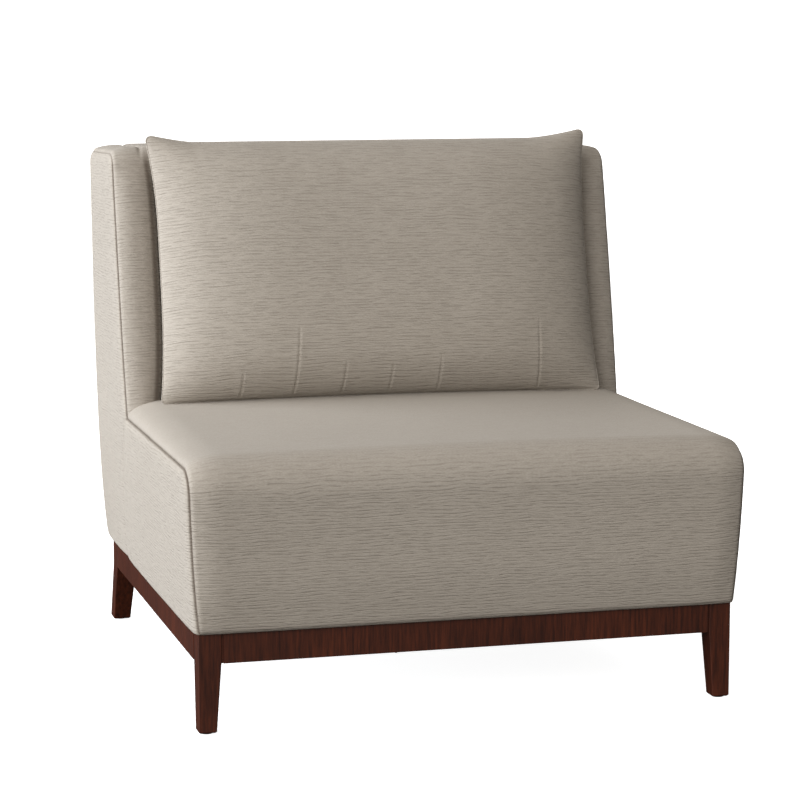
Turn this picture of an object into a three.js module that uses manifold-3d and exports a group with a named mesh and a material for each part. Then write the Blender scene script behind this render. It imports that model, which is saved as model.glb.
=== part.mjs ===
// Armless slipper chair. An upholstered seat and a wedge-shaped back stand on a low wooden
// base with raked rear legs, and one loose knife-edge cushion leans on the back.
// Millimetres, +Z up. The chair faces -Y, and left and right are those of someone facing it.

import * as THREE from "three";
import { mergeVertices } from "three/addons/utils/BufferGeometryUtils.js";
import Module from "manifold-3d";

const wasm = await Module();
wasm.setup();

// Clearance between pieces that meet
const fitGap = 0.3;
// How far a cutting shape runs past what it cuts
const cutOverrun = 5;

// Wooden base
const baseWidth = 850;
const baseDepth = 814;
const railTop = 153;
const railHeight = 46;
const railThickness = 25;
const shadowGroove = 3;
const legSquare = 35;
const footSquare = 27.5;
const rearLegDepth = 42.5;
const rearFootWidth = 30;
const rearFootDepth = 36;
const rearLegRake = 40;
const legArris = 1;
const footChamfer = 2;
const tenonThickness = 10;
const tenonLength = 16;
const tenonShoulder = 6;

// Corner blocks and the bolts that hold the legs to them
const blockHeight = 30;
const blockDepth = 50;
const boltDiameter = 6;
const boltHeadDiameter = 13;
const boltHeadHeight = 4.5;
const boltGrip = 14;
const boltHoleClearance = 0.4;

// Glides
const glideDiameter = 20;
const glideHeight = 2;
const glideBevel = 0.7;

// Upholstery outline
const coverThickness = 3;
const sideOverhang = 2;
const frontOverhang = 4;
const frontLean = 6.5;
const sideFlare = 18;
const flareReach = 162;
const flareSteps = 8;
const shortRun = 60;

// Seat
const seatSeamHeight = 245;
const seatSeamRise = 7;
const seatFrontRadius = 40;
const seatFrontCrown = 10;
const seatHemReach = 90;
const seatHemCrownShare = 0.25;
const seatTopFrontCrown = 22;
const seatTopRearCrown = 34;
const seatCrownReach = 60;
const seatPanelLowDepth = 619;
const seatPanelBow = 26;

// Back
const backFaceDepth = 552.5;
const backFaceLevel = 425;
const reclineAngle = THREE.MathUtils.degToRad(13.1);
const backSeamHeight = 846;
const backTopFrontRadius = 30;
const backTopRearRadius = 21;
const backBottomRadius = 16;
const backRearOverhang = 47;
const backRearLean = 29;
const backFaceCrown = 4;
const backTopCrown = 11;
const backRearCrown = 3;
const backCrownReach = 32;
const backCoverTurnDown = 12;

// Part of a crown that is gained at the seam, and part that is gained over the full width
const edgeCrownShare = 0.82;
const middleCrownShare = 1 - edgeCrownShare;
const edgeColumnShares = [0, 0.04, 0.12, 0.27, 0.5, 0.78, 1.1];
const middleColumnShares = [0.62, 0.3, 0];
const foamColumnShares = [0.32, 0.5, 0.78, 1.1];

// Inner frame
const boardThickness = 22;
const seatBoardHeight = 130;
const frameInset = 2;
const foamGap = 0.6;
const frontPad = 9;
const springRailDepth = 585;
const backPad = 52;
const topPad = 18;
const lumbarRailLevel = 440;
const lumbarRailHeight = 60;
const dustCoverThickness = 0.8;
const dustCoverMargin = 12;

// Zig-zag seat springs
const springCount = 5;
const springSpacing = 145;
const springBars = 18;
const springHalfWidth = 26;
const springWireDiameter = 3.8;
const springRise = 22;
const springStepsPerBar = 4;
const springSides = 5;
const springBendShare = 0.42;
const springTailShare = 0.32;
const clipWidth = 14;
const clipClearance = 1.4;
const clipTail = 9;
const clipThickness = 1.5;
const clipSteps = 6;
const clipRollShare = 0.8;
const deckPadThickness = 6;
const deckPadMargin = 14;
const archSteps = 12;

// Webbing in the back
const webbingCount = 3;
const webbingWidth = 70;
const webbingThickness = 1.6;
const webbingSpacing = 230;

// Loose cushion
const cushionHeight = 449;
const cushionInset = 37;
const cushionWaist = 10;
const cushionStandOff = 52;
const cushionFrontCrown = 80;
const cushionSeatGap = 0.6;
const cushionEarHeight = 14;
const cushionTopSkew = 4;
const cushionWaistPower = 3;
const cushionEarPower = 10;
const crownAcrossPowers = [5, 0.8];
const crownUpPowers = [3.2, 0.75];
const tuckDepth = 3.5;
const tuckHalfWidth = 9;
const tuckClearShare = 1.8;
const tuckPlaceShares = [-0.665, -0.425, -0.21, 0, 0.22, 0.695];
const tuckLengthShares = [0.085, 0.25, 0.1, 0.09, 0.11, 0.265];
const cushionColumnShares = [0, 0.04, 0.1, 0.2, 0.32, 0.41, 0.62, 0.8, 0.9, 0.96, 1];
const cushionRowShares = [0, 0.015, 0.05, 0.1, 0.16, 0.23, 0.33, 0.45, 0.58, 0.7, 0.8, 0.88, 0.94, 0.98, 1];

// Counts of facets on arcs and round pieces
const arcSteps = 5;
const lineSteps = 4;
const roundSteps = 16;
const boltSteps = 10;

// Levels and planes that follow from the sizes above
const railBottom = railTop - railHeight;
const baseFront = -baseDepth / 2;
const baseRear = baseDepth / 2;
const upholsteryBottom = railTop + fitGap;
const boardBottom = railTop + dustCoverThickness + fitGap;
const boardTop = boardBottom + seatBoardHeight;
const springRadius = springWireDiameter / 2;
const wireSeat = boardTop + clipThickness + springRadius + clipClearance + fitGap;
const frameHalfWidth = baseWidth / 2 - frameInset;
const panelInner = frameHalfWidth + fitGap;
const cushionHalfWidth = baseWidth / 2 - cushionInset;
const seatFrontLow = baseFront - frontOverhang;
const seatSeamFront = railTop + seatSeamHeight;
const springRailFront = baseFront + springRailDepth;
const springRailRear = springRailFront + boardThickness;
const frontBoardFace = seatFrontLow + coverThickness + frontPad;
const backRearLow = baseRear + backRearOverhang;
const backFrameTop = backSeamHeight - topPad;
const frontBoardInner = frontBoardFace + boardThickness;
const clipSpanFront = frontBoardInner - boardThickness / 2;
const clipSpanRear = springRailFront + boardThickness / 2;
const insideCoverBottom = wireSeat + springRise + deckPadThickness + springWireDiameter;

const faceY = (z) => baseFront + backFaceDepth + (z - backFaceLevel) * Math.tan(reclineAngle);
const rearY = (z) => backRearLow + backRearLean * (z - railTop) / (backSeamHeight - railTop);
const sideX = (z) => baseWidth / 2 + sideOverhang + sideFlare * (1 - Math.exp((railTop - z) / flareReach));

// Materials
const fabric = (color) => new THREE.MeshStandardMaterial({ color, roughness: 0.9, metalness: 0 });
const coverFabric = fabric(0x9d9489);
const cushionFabric = fabric(0xa0968b);
const darkWood = new THREE.MeshStandardMaterial({ color: 0x42221a, roughness: 0.5, metalness: 0 });
const frameWood = new THREE.MeshStandardMaterial({ color: 0xb99468, roughness: 0.8, metalness: 0 });
const foam = new THREE.MeshStandardMaterial({ color: 0xe8dfc4, roughness: 1, metalness: 0 });
const felt = new THREE.MeshStandardMaterial({ color: 0x6d6a66, roughness: 1, metalness: 0 });
const springSteel = new THREE.MeshStandardMaterial({ color: 0x8a8d90, roughness: 0.4, metalness: 0.9 });
const zincSteel = new THREE.MeshStandardMaterial({ color: 0xa9adb2, roughness: 0.35, metalness: 0.9 });
const webbingFabric = fabric(0x2f2d2b);
const dustFabric = fabric(0x1d1c1b);
const glidePlastic = new THREE.MeshStandardMaterial({ color: 0x2a2624, roughness: 0.6, metalness: 0 });

// A closed body from vertices and triangles, turned so that its faces point out
function closedBody(points, triangles) {
  const positions = new Float32Array(points.length * 3);
  points.forEach((p, i) => p.toArray(positions, i * 3));
  let volume = 0;
  for (const [a, b, c] of triangles) {
    volume += points[a].dot(points[b].clone().cross(points[c]));
  }
  const index = volume > 0 ? triangles.flat() : triangles.map(([a, b, c]) => [a, c, b]).flat();
  const geometry = new THREE.BufferGeometry();
  geometry.setAttribute("position", new THREE.BufferAttribute(positions, 3));
  geometry.setIndex(index);
  return geometry;
}

// Joining and cutting
function toSolid(geometry) {
  const bare = geometry.clone();
  bare.deleteAttribute("normal");
  bare.deleteAttribute("uv");
  const merged = mergeVertices(bare);
  const vertProperties = new Float32Array(merged.attributes.position.array);
  const triVerts = new Uint32Array(merged.index.array);
  return new wasm.Manifold(new wasm.Mesh({ numProp: 3, vertProperties, triVerts }));
}

function toGeometry(solid) {
  const mesh = solid.getMesh();
  const geometry = new THREE.BufferGeometry();
  geometry.setAttribute("position", new THREE.BufferAttribute(mesh.vertProperties, 3));
  geometry.setIndex(new THREE.BufferAttribute(mesh.triVerts, 1));
  return geometry;
}

// A block between two corners
function block(low, high) {
  const size = high.clone().sub(low);
  const geometry = new THREE.BoxGeometry(size.x, size.y, size.z);
  return geometry.translate((low.x + high.x) / 2, (low.y + high.y) / 2, (low.z + high.z) / 2);
}

// Extrusions of outlines drawn in a plane of the chair
function extrudeUp(outline, bottom, top) {
  const shape = new THREE.Shape(outline);
  const geometry = new THREE.ExtrudeGeometry(shape, { depth: top - bottom, bevelEnabled: false });
  return geometry.translate(0, 0, bottom);
}

function extrudeAcross(outline, left, right) {
  const shape = new THREE.Shape(outline);
  const geometry = new THREE.ExtrudeGeometry(shape, { depth: right - left, bevelEnabled: false });
  const turn = new THREE.Matrix4().makeBasis(
    new THREE.Vector3(0, 1, 0),
    new THREE.Vector3(0, 0, 1),
    new THREE.Vector3(1, 0, 0),
  );
  return geometry.applyMatrix4(turn).translate(left, 0, 0);
}

function extrudeBack(outline, front, rear) {
  const shape = new THREE.Shape(outline);
  const geometry = new THREE.ExtrudeGeometry(shape, { depth: rear - front, bevelEnabled: false });
  return geometry.rotateX(Math.PI / 2).translate(0, rear, 0);
}

// The mirror image of a geometry across the planes X = 0 and Y = 0
function reflected(geometry, signX, signY) {
  const copy = geometry.clone().scale(signX, signY, 1);
  if (signX * signY < 0) {
    const count = copy.attributes.position.count;
    const index = copy.index ? Array.from(copy.index.array) : [...Array(count).keys()];
    for (let i = 0; i < index.length; i += 3) {
      [index[i + 1], index[i + 2]] = [index[i + 2], index[i + 1]];
    }
    copy.setIndex(index);
  }
  return copy;
}

// Triangles over a flat loop, turned the way that the loop runs
function capTriangles(flat) {
  const turn = Math.sign(THREE.ShapeUtils.area(flat));
  return THREE.ShapeUtils.triangulateShape(flat, []).map(([a, b, c]) => {
    const same = Math.sign(THREE.ShapeUtils.area([flat[a], flat[b], flat[c]])) === turn;
    return same ? [a, b, c] : [a, c, b];
  });
}

// A solid through a row of closed loops, each with the same number of points
function loft(loops, flatten) {
  const count = loops[0].length;
  const last = (loops.length - 1) * count;
  const triangles = [];
  for (let i = 0; i + 1 < loops.length; i += 1) {
    for (let j = 0; j < count; j += 1) {
      const a = i * count + j;
      const b = i * count + (j + 1) % count;
      triangles.push([a, b, b + count], [a, b + count, a + count]);
    }
  }
  capTriangles(loops[0].map(flatten)).forEach(([a, b, c]) => triangles.push([a, c, b]));
  capTriangles(loops.at(-1).map(flatten)).forEach(([a, b, c]) => {
    triangles.push([last + a, last + b, last + c]);
  });
  return closedBody(loops.flat(), triangles);
}

const seenFromAbove = (p) => new THREE.Vector2(p.x, p.y);
const seenFromSide = (p) => new THREE.Vector2(p.y, p.z);

// A closed skin between an outer and an inner grid of points of the same size
function gridShell(outer, inner) {
  const rows = outer.length;
  const columns = outer[0].length;
  const half = rows * columns;
  const at = (i, j) => i * columns + j;
  const triangles = [];
  for (let i = 0; i + 1 < rows; i += 1) {
    for (let j = 0; j + 1 < columns; j += 1) {
      const [a, b, c, d] = [at(i, j), at(i, j + 1), at(i + 1, j + 1), at(i + 1, j)];
      triangles.push([a, b, c], [a, c, d]);
      triangles.push([half + a, half + c, half + b], [half + a, half + d, half + c]);
    }
  }
  const rim = [];
  for (let j = 0; j < columns - 1; j += 1) rim.push(at(0, j));
  for (let i = 0; i < rows - 1; i += 1) rim.push(at(i, columns - 1));
  for (let j = columns - 1; j > 0; j -= 1) rim.push(at(rows - 1, j));
  for (let i = rows - 1; i > 0; i -= 1) rim.push(at(i, 0));
  rim.forEach((a, k) => {
    const b = rim[(k + 1) % rim.length];
    triangles.push([b, a, half + a], [b, half + a, half + b]);
  });
  return closedBody([...outer.flat(), ...inner.flat()], triangles);
}

// Points of a side outline: straight runs between corners, each corner rounded by its radius.
// Each point keeps the direction that faces out of the outline.
function roundedPath(corners) {
  const points = [];
  corners.forEach((corner, i) => {
    const before = corners[i - 1];
    const after = corners[i + 1];
    if (!before || !after || !corner.radius) {
      points.push(new THREE.Vector2(corner.y, corner.z));
      return;
    }
    const here = new THREE.Vector2(corner.y, corner.z);
    const back = new THREE.Vector2(before.y, before.z).sub(here).normalize();
    const ahead = new THREE.Vector2(after.y, after.z).sub(here).normalize();
    const half = Math.acos(back.dot(ahead)) / 2;
    const centre = here.clone().add(back.clone().add(ahead).normalize()
      .multiplyScalar(corner.radius / Math.sin(half)));
    const reach = corner.radius / Math.tan(half);
    const start = here.clone().addScaledVector(back, reach).sub(centre);
    const end = here.clone().addScaledVector(ahead, reach).sub(centre);
    const sweep = Math.atan2(start.cross(end), start.dot(end));
    for (let k = 0; k <= arcSteps; k += 1) {
      points.push(start.clone().rotateAround(new THREE.Vector2(), sweep * k / arcSteps).add(centre));
    }
  });
  const dense = [];
  points.forEach((p, i) => {
    const next = points[i + 1];
    dense.push(p);
    const steps = next && p.distanceTo(next) > shortRun ? lineSteps : 1;
    for (let k = 1; k < steps; k += 1) dense.push(p.clone().lerp(next, k / steps));
  });
  return dense.map((p, i) => {
    const ahead = dense[Math.min(i + 1, dense.length - 1)];
    const along = ahead.clone().sub(dense[Math.max(i - 1, 0)]).normalize();
    return { y: p.x, z: p.y, outY: -along.y, outZ: along.x };
  });
}

// The path moved inwards by a depth
const inset = (path, depth) => path.map((p) => ({
  ...p,
  y: p.y - p.outY * depth,
  z: p.z - p.outZ * depth,
}));
const asOutline = (path) => path.map((p) => new THREE.Vector2(p.y, p.z));

// How much of its crown a panel has at a distance from its seam
function crownAt(x, z, reach) {
  const half = sideX(z);
  const edge = Math.min(Math.max((half - Math.abs(x)) / reach, 0), 1);
  const rise = Math.sqrt(1 - (1 - edge) ** 2);
  return edgeCrownShare * rise + middleCrownShare * (1 - (x / half) ** 2);
}

// One point of a padded surface, or of a layer under it
function paddedPoint(place, x, crown, reach, depth) {
  const stand = crown(place) * crownAt(x, place.z, reach) - depth;
  return new THREE.Vector3(x, place.y + place.outY * stand, place.z + place.outZ * stand);
}

function columnPlaces(half, reach) {
  const right = edgeColumnShares.map((share) => half - share * reach);
  const inner = right.at(-1);
  const middle = middleColumnShares.map((share) => share * inner);
  const all = [...right, ...middle];
  return [...all.slice(0, -1).map((x) => -x), ...all.reverse()];
}

// A sewn cover panel: a skin along a side path, with its crown between the side seams
function coverPanel(path, crown, reach, halfWidth, trim) {
  const layer = (depth) => path.map((place, row) => {
    const half = halfWidth(place);
    return columnPlaces(half, reach).map((x) => {
      const point = paddedPoint(place, x, crown, reach, depth);
      return trim ? trim(point, row) : point;
    });
  });
  return gridShell(layer(0), layer(coverThickness));
}

// Side paths of the covers, from the front bottom up and over to the rear
const seatSeamRear = seatSeamFront + seatSeamRise;
const seatPath = roundedPath([
  { y: seatFrontLow, z: upholsteryBottom },
  { y: seatFrontLow - frontLean, z: seatSeamFront, radius: seatFrontRadius },
  { y: faceY(seatSeamRear), z: seatSeamRear },
]);
const backFront = { y: faceY(backSeamHeight), z: backSeamHeight, radius: backTopFrontRadius };
const backRear = { y: rearY(backSeamHeight), z: backSeamHeight, radius: backTopRearRadius };
const rearTurnDown = backSeamHeight - backTopRearRadius - backCoverTurnDown;
const insideBackPath = roundedPath([
  { y: faceY(insideCoverBottom), z: insideCoverBottom },
  { y: faceY(seatSeamRear - coverThickness), z: seatSeamRear - coverThickness },
  { y: faceY(seatSeamRear), z: seatSeamRear },
  backFront,
  backRear,
  { y: rearY(rearTurnDown), z: rearTurnDown },
]);
const outsideBackPath = roundedPath([
  { y: rearY(rearTurnDown - fitGap), z: rearTurnDown - fitGap },
  { y: backRearLow, z: upholsteryBottom, radius: backBottomRadius },
  { y: backRearLow - backBottomRadius - coverThickness, z: upholsteryBottom },
]);

function seatCrown(place) {
  const along = (place.y - seatFrontLow) / (faceY(seatSeamRear) - seatFrontLow);
  const top = THREE.MathUtils.lerp(seatTopFrontCrown, seatTopRearCrown, along);
  const above = THREE.MathUtils.clamp((place.z - upholsteryBottom) / seatHemReach, 0, 1);
  const front = seatFrontCrown * THREE.MathUtils.lerp(seatHemCrownShare, 1, Math.sin(above * Math.PI / 2));
  return THREE.MathUtils.lerp(front, top, Math.max(place.outZ, 0));
}

function backCrown(place) {
  const upright = place.outY < 0 ? backFaceCrown : backRearCrown;
  const lean = Math.sin(reclineAngle);
  const turn = THREE.MathUtils.clamp((place.outZ - lean) / (1 - lean), 0, 1);
  return THREE.MathUtils.lerp(upright, backTopCrown, turn);
}

const rearCrown = (place) => backRearCrown * Math.max(place.outY, 0);

// Front of the inside back, crown included
function insideBackY(x, z) {
  return faceY(z) - backFaceCrown * crownAt(x, z, backCrownReach) / Math.cos(reclineAngle);
}

// Height of the seat's crowned top at a place
function seatTopZ(x, y) {
  const share = (y - seatFrontLow) / (faceY(seatSeamRear) - seatFrontLow);
  const seam = seatSeamFront + seatSeamRise * share;
  return seam + seatCrown({ y, z: seam, outZ: 1 }) * crownAt(x, seam, seatCrownReach);
}

// Wooden base
function leg(depth, footWidth, footDepth, rake) {
  const section = (z, width, front, length, trim) => {
    const [x0, x1, y0, y1] = [trim, width - trim, front + trim, front + length - trim];
    const ring = [
      [x0 + legArris, y0], [x1 - legArris, y0], [x1, y0 + legArris], [x1, y1 - legArris],
      [x1 - legArris, y1], [x0 + legArris, y1], [x0, y1 - legArris], [x0, y0 + legArris],
    ];
    return ring.map(([x, y]) => new THREE.Vector3(x, y, z));
  };
  const post = loft([
    section(glideHeight, footWidth, -rake, footDepth, footChamfer),
    section(glideHeight + footChamfer, footWidth, -rake, footDepth, 0),
    section(railBottom, legSquare, 0, depth, 0),
    section(railTop, legSquare, 0, depth, 0),
  ], seenFromAbove);
  const inset0 = (railThickness - tenonThickness) / 2 - fitGap;
  const inset1 = (railThickness + tenonThickness) / 2 + fitGap;
  const low = railBottom + tenonShoulder - fitGap;
  const high = railTop - tenonShoulder + fitGap;
  const crossMortise = block(
    new THREE.Vector3(legSquare - tenonLength - fitGap, inset0, low),
    new THREE.Vector3(legSquare + cutOverrun, inset1, high),
  );
  const sideMortise = block(
    new THREE.Vector3(inset0, depth - tenonLength - fitGap, low),
    new THREE.Vector3(inset1, depth + cutOverrun, high),
  );
  const cut = [crossMortise, sideMortise, boltHole(depth)];
  return toGeometry(cut.reduce((solid, piece) => solid.subtract(toSolid(piece)), toSolid(post)));
}

// Bolts lie level, on the diagonal from the leg's inner corner to the middle of the chair
function alongDiagonal(geometry, depth) {
  return geometry
    .rotateZ(-Math.PI / 4)
    .translate(legSquare, depth, railTop - railHeight / 2);
}

function boltHole(depth) {
  const radius = boltDiameter / 2 + boltHoleClearance;
  const length = boltGrip + fitGap + blockDepth + cutOverrun;
  const hole = new THREE.CylinderGeometry(radius, radius, length, boltSteps);
  return alongDiagonal(hole.translate(0, length / 2 - boltGrip - fitGap, 0), depth);
}

function cornerBolt(depth) {
  const shank = boltDiameter / 2;
  const head = boltHeadDiameter / 2;
  const seat = blockDepth + fitGap;
  const profile = [
    [0, -boltGrip], [shank, -boltGrip], [shank, seat], [head, seat],
    [head, seat + boltHeadHeight], [0, seat + boltHeadHeight],
  ];
  const points = profile.map(([r, y]) => new THREE.Vector2(r, y));
  return alongDiagonal(new THREE.LatheGeometry(points, boltSteps), depth);
}

function cornerBlock(depth) {
  const inner = railThickness + fitGap;
  const x = legSquare + fitGap;
  const y = depth + fitGap;
  const reach = legSquare + depth + blockDepth * Math.SQRT2 - inner;
  const outline = [[inner, reach], [inner, y], [x, y], [x, inner], [reach, inner]];
  const middle = railTop - railHeight / 2;
  const points = outline.map(([px, py]) => new THREE.Vector2(px, py));
  const solid = toSolid(extrudeUp(points, middle - blockHeight / 2, middle + blockHeight / 2));
  return toGeometry(solid.subtract(toSolid(boltHole(depth))));
}

// A rail lies along X with its show face at Y = 0 and a tenon at each end
function rail(clearLength) {
  const half = clearLength / 2 - fitGap;
  const step = half - shadowGroove;
  const outline = [
    [-half, railThickness], [-half, shadowGroove], [-step, shadowGroove], [-step, 0],
    [step, 0], [step, shadowGroove], [half, shadowGroove], [half, railThickness],
  ].map(([x, y]) => new THREE.Vector2(x, y));
  const body = toSolid(extrudeUp(outline, railBottom, railTop));
  const reach = clearLength / 2 + tenonLength;
  const [outer, inner] = [(railThickness - tenonThickness) / 2, (railThickness + tenonThickness) / 2];
  const tenon = block(
    new THREE.Vector3(-reach, outer, railBottom + tenonShoulder),
    new THREE.Vector3(reach, inner, railTop - tenonShoulder),
  );
  return toGeometry(body.add(toSolid(tenon)));
}

function glide() {
  const radius = glideDiameter / 2;
  const profile = [
    [0, 0], [radius - glideBevel, 0], [radius, glideBevel], [radius, glideHeight], [0, glideHeight],
  ];
  const points = profile.map(([r, y]) => new THREE.Vector2(r, y));
  return new THREE.LatheGeometry(points, roundSteps).rotateX(Math.PI / 2);
}

// Height of the spring wire's middle along the arch of the seat
function archZ(y) {
  const along = THREE.MathUtils.clamp((y - clipSpanFront) / (clipSpanRear - clipSpanFront), 0, 1);
  return wireSeat + springRise * (1 - (2 * along - 1) ** 2);
}

function seatSpring() {
  const pitch = (clipSpanRear - clipSpanFront) / springBars;
  const first = 0.5 - springTailShare;
  const last = springBars + 0.5 + springTailShare;
  const steps = springBars * springStepsPerBar;
  const points = [];
  for (let i = 0; i <= steps; i += 1) {
    const turn = first + (last - first) * i / steps;
    const angle = Math.PI * turn;
    const y = clipSpanFront + pitch * (turn - 0.5 + springBendShare * Math.sin(2 * angle) / Math.PI);
    points.push(new THREE.Vector3(springHalfWidth * Math.cos(angle), y, archZ(y)));
  }
  return sweptRod(points, springRadius, springSides);
}

// A round rod through a row of points on a mostly level route
function sweptRod(route, radius, sides) {
  const up = new THREE.Vector3(0, 0, 1);
  const loops = route.map((point, i) => {
    const ahead = route[Math.min(i + 1, route.length - 1)];
    const along = ahead.clone().sub(route[Math.max(i - 1, 0)]).normalize();
    const beside = along.clone().cross(up).normalize();
    const over = beside.clone().cross(along);
    return [...Array(sides).keys()].map((k) => {
      const angle = 2 * Math.PI * k / sides;
      return point.clone()
        .addScaledVector(beside, radius * Math.cos(angle))
        .addScaledVector(over, radius * Math.sin(angle));
    });
  });
  const flatten = (p) => new THREE.Vector2(p.x + p.y, p.z);
  return loft(loops, flatten);
}

// A formed clip: a plate on the board, rolled over the end bar of a spring
function springClip(barY, inward) {
  const inner = springRadius + clipClearance;
  const outer = inner + clipThickness;
  const base = boardTop + fitGap;
  const centreZ = wireSeat;
  const tail = barY - inward * clipTail;
  const roll = Math.PI * clipRollShare;
  const arc = (radius, from, to) => [...Array(clipSteps + 1).keys()].map((k) => {
    const angle = from + (to - from) * k / clipSteps;
    return new THREE.Vector2(barY + inward * radius * Math.cos(angle), centreZ + radius * Math.sin(angle));
  });
  const outline = [
    new THREE.Vector2(tail, base),
    ...arc(outer, -Math.PI / 2, roll).map((p) => new THREE.Vector2(p.x, Math.max(p.y, base))),
    ...arc(inner, roll, -Math.PI / 2),
    new THREE.Vector2(tail, centreZ - inner),
  ];
  return extrudeAcross(outline, -clipWidth / 2, clipWidth / 2);
}

// Boards of the seat frame and the back frame
const sideOutline = (points) => points.map(([y, z]) => new THREE.Vector2(y, z));

function crossBoard(front, bottom, top) {
  const half = frameHalfWidth - boardThickness - fitGap;
  return block(
    new THREE.Vector3(-half, front, bottom),
    new THREE.Vector3(half, front + boardThickness, top),
  );
}

function seatSideBoard() {
  return block(
    new THREE.Vector3(frameHalfWidth - boardThickness, frontBoardFace, boardBottom),
    new THREE.Vector3(frameHalfWidth, springRailRear, boardTop),
  );
}

// Front plane of the back frame, which slopes with the back's face
const frameFaceY = (z) => faceY(z) + backPad / Math.cos(reclineAngle);
const frameRearY = (z) => rearY(z) - coverThickness - fitGap;

function backSideBoard() {
  const front = springRailRear + fitGap;
  const bend = backFaceLevel + (front - frameFaceY(backFaceLevel)) / Math.tan(reclineAngle);
  const heel = backBottomRadius + coverThickness;
  const outline = sideOutline([
    [front, boardBottom], [frameRearY(boardBottom) - heel, boardBottom],
    [frameRearY(boardBottom + heel), boardBottom + heel],
    [frameRearY(backFrameTop), backFrameTop], [frameFaceY(backFrameTop), backFrameTop], [front, bend],
  ]);
  return extrudeAcross(outline, frameHalfWidth - boardThickness, frameHalfWidth);
}

function backTopBoard() {
  const half = frameHalfWidth - boardThickness - fitGap;
  const low = backFrameTop - boardThickness;
  const outline = sideOutline([
    [frameFaceY(low), low], [frameRearY(low), low],
    [frameRearY(backFrameTop), backFrameTop], [frameFaceY(backFrameTop), backFrameTop],
  ]);
  return extrudeAcross(outline, -half, half);
}

function lumbarRail() {
  const half = frameHalfWidth - boardThickness - fitGap;
  const top = lumbarRailLevel + lumbarRailHeight;
  const deep = boardThickness / Math.cos(reclineAngle);
  const outline = sideOutline([
    [frameFaceY(lumbarRailLevel), lumbarRailLevel], [frameFaceY(lumbarRailLevel) + deep, lumbarRailLevel],
    [frameFaceY(top) + deep, top], [frameFaceY(top), top],
  ]);
  return extrudeAcross(outline, -half, half);
}

// Webbing is stretched over the front of the back frame
function webbing(place) {
  const low = lumbarRailLevel + fitGap;
  const high = backFrameTop - fitGap;
  const rear = (z) => frameFaceY(z) - fitGap;
  const front = (z) => rear(z) - webbingThickness / Math.cos(reclineAngle);
  const outline = sideOutline([
    [front(low), low], [rear(low), low], [rear(high), high], [front(high), high],
  ]);
  return extrudeAcross(outline, place - webbingWidth / 2, place + webbingWidth / 2);
}

// Felt deck pad on the arched springs
const archPlaces = (front, rear) => [...Array(archSteps + 1).keys()]
  .map((k) => front + (rear - front) * k / archSteps);

function deckPad() {
  const half = frameHalfWidth - boardThickness - deckPadMargin;
  const places = archPlaces(clipSpanFront + deckPadMargin, clipSpanRear - deckPadMargin);
  const under = places.map((y) => [y, archZ(y) + springRadius + fitGap]);
  const over = under.map(([y, z]) => [y, z + deckPadThickness]).reverse();
  return extrudeAcross(sideOutline([...under, ...over]), -half, half);
}

// Foam pads: a padded surface on one side, and the frame that it lies on at the other
function foamPad(path, crown, reach, floor, finish) {
  const half = frameHalfWidth - fitGap;
  const edge = foamColumnShares.map((share) => sideX(backFaceLevel) - share * reach)
    .filter((x) => x < half - foamGap);
  const right = [half, ...edge, edge.at(-1) * middleColumnShares[0], 0];
  const columns = [...right.slice(0, -1).map((x) => -x), ...right.reverse()];
  const depth = coverThickness + foamGap;
  const loops = columns.map((x) => {
    const top = path.map((place, row) => finish(paddedPoint(place, x, crown, reach, depth), row));
    return [...top, ...floor.map(([y, z]) => new THREE.Vector3(x, y, z))];
  });
  return loft(loops, seenFromSide);
}

function seatFoam() {
  const deckTop = (y) => archZ(y) + springRadius + deckPadThickness + 3 * fitGap;
  const inner = frontBoardFace - fitGap;
  const rear = faceY(wireSeat) - coverThickness - backFaceCrown;
  const deck = archPlaces(clipSpanFront, rear).reverse().map((y) => [y, deckTop(y)]);
  const floor = [...deck, [inner, deckTop(inner)], [inner, upholsteryBottom + fitGap]];
  const finish = (point, row) => (row < seatPath.length - 1 ? point : cutAtBack(point));
  return foamPad(seatPath, seatCrown, seatCrownReach, floor, finish);
}

// The seat ends against the inside back
function cutAtBack(point) {
  point.y = insideBackY(point.x, point.z) - fitGap / Math.cos(reclineAngle);
  return point;
}

function backFoam() {
  const path = insideBackPath
    .filter((place) => place.y < frameRearY(backFrameTop) && place.outY < edgeCrownShare);
  const rear = path.at(-1).y;
  const low = insideCoverBottom;
  const webFront = (z) => frameFaceY(z) - (2 * fitGap + webbingThickness) / Math.cos(reclineAngle);
  const top = backFrameTop + fitGap;
  const floor = [[rear, top], [webFront(top), top], [webFront(low), low]];
  return foamPad(path, backCrown, backCrownReach, floor, (point) => point);
}

// Sewn covers
function seatTopCover() {
  const half = (place) => sideX(place.z);
  const finish = (point, row) => (row < seatPath.length - 1 ? point : cutAtBack(point));
  return coverPanel(seatPath, seatCrown, seatCrownReach, half, finish);
}

// Below the seat's seam the inside back passes between the side panels
function insideBackCover() {
  const entry = seatSeamRear - coverThickness / 2;
  const half = (place) => (place.z < entry ? frameHalfWidth - fitGap : sideX(place.z));
  return coverPanel(insideBackPath, backCrown, backCrownReach, half);
}

function outsideBackCover() {
  return coverPanel(outsideBackPath, rearCrown, backCrownReach, (place) => sideX(place.z));
}

// Space beside the frame, bounded by the flared side of the chair
function flaredSide() {
  const low = upholsteryBottom - cutOverrun;
  const high = backSeamHeight + cutOverrun;
  const levels = [...Array(flareSteps + 1).keys()].map((k) => low + (high - low) * (k / flareSteps) ** 2);
  const outer = levels.map((z) => new THREE.Vector2(sideX(z), z));
  const inner = panelInner - cutOverrun;
  const outline = [...outer, new THREE.Vector2(inner, high), new THREE.Vector2(inner, low)];
  return extrudeBack(outline, seatFrontLow - frontLean - cutOverrun, rearY(high) + cutOverrun);
}

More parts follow.
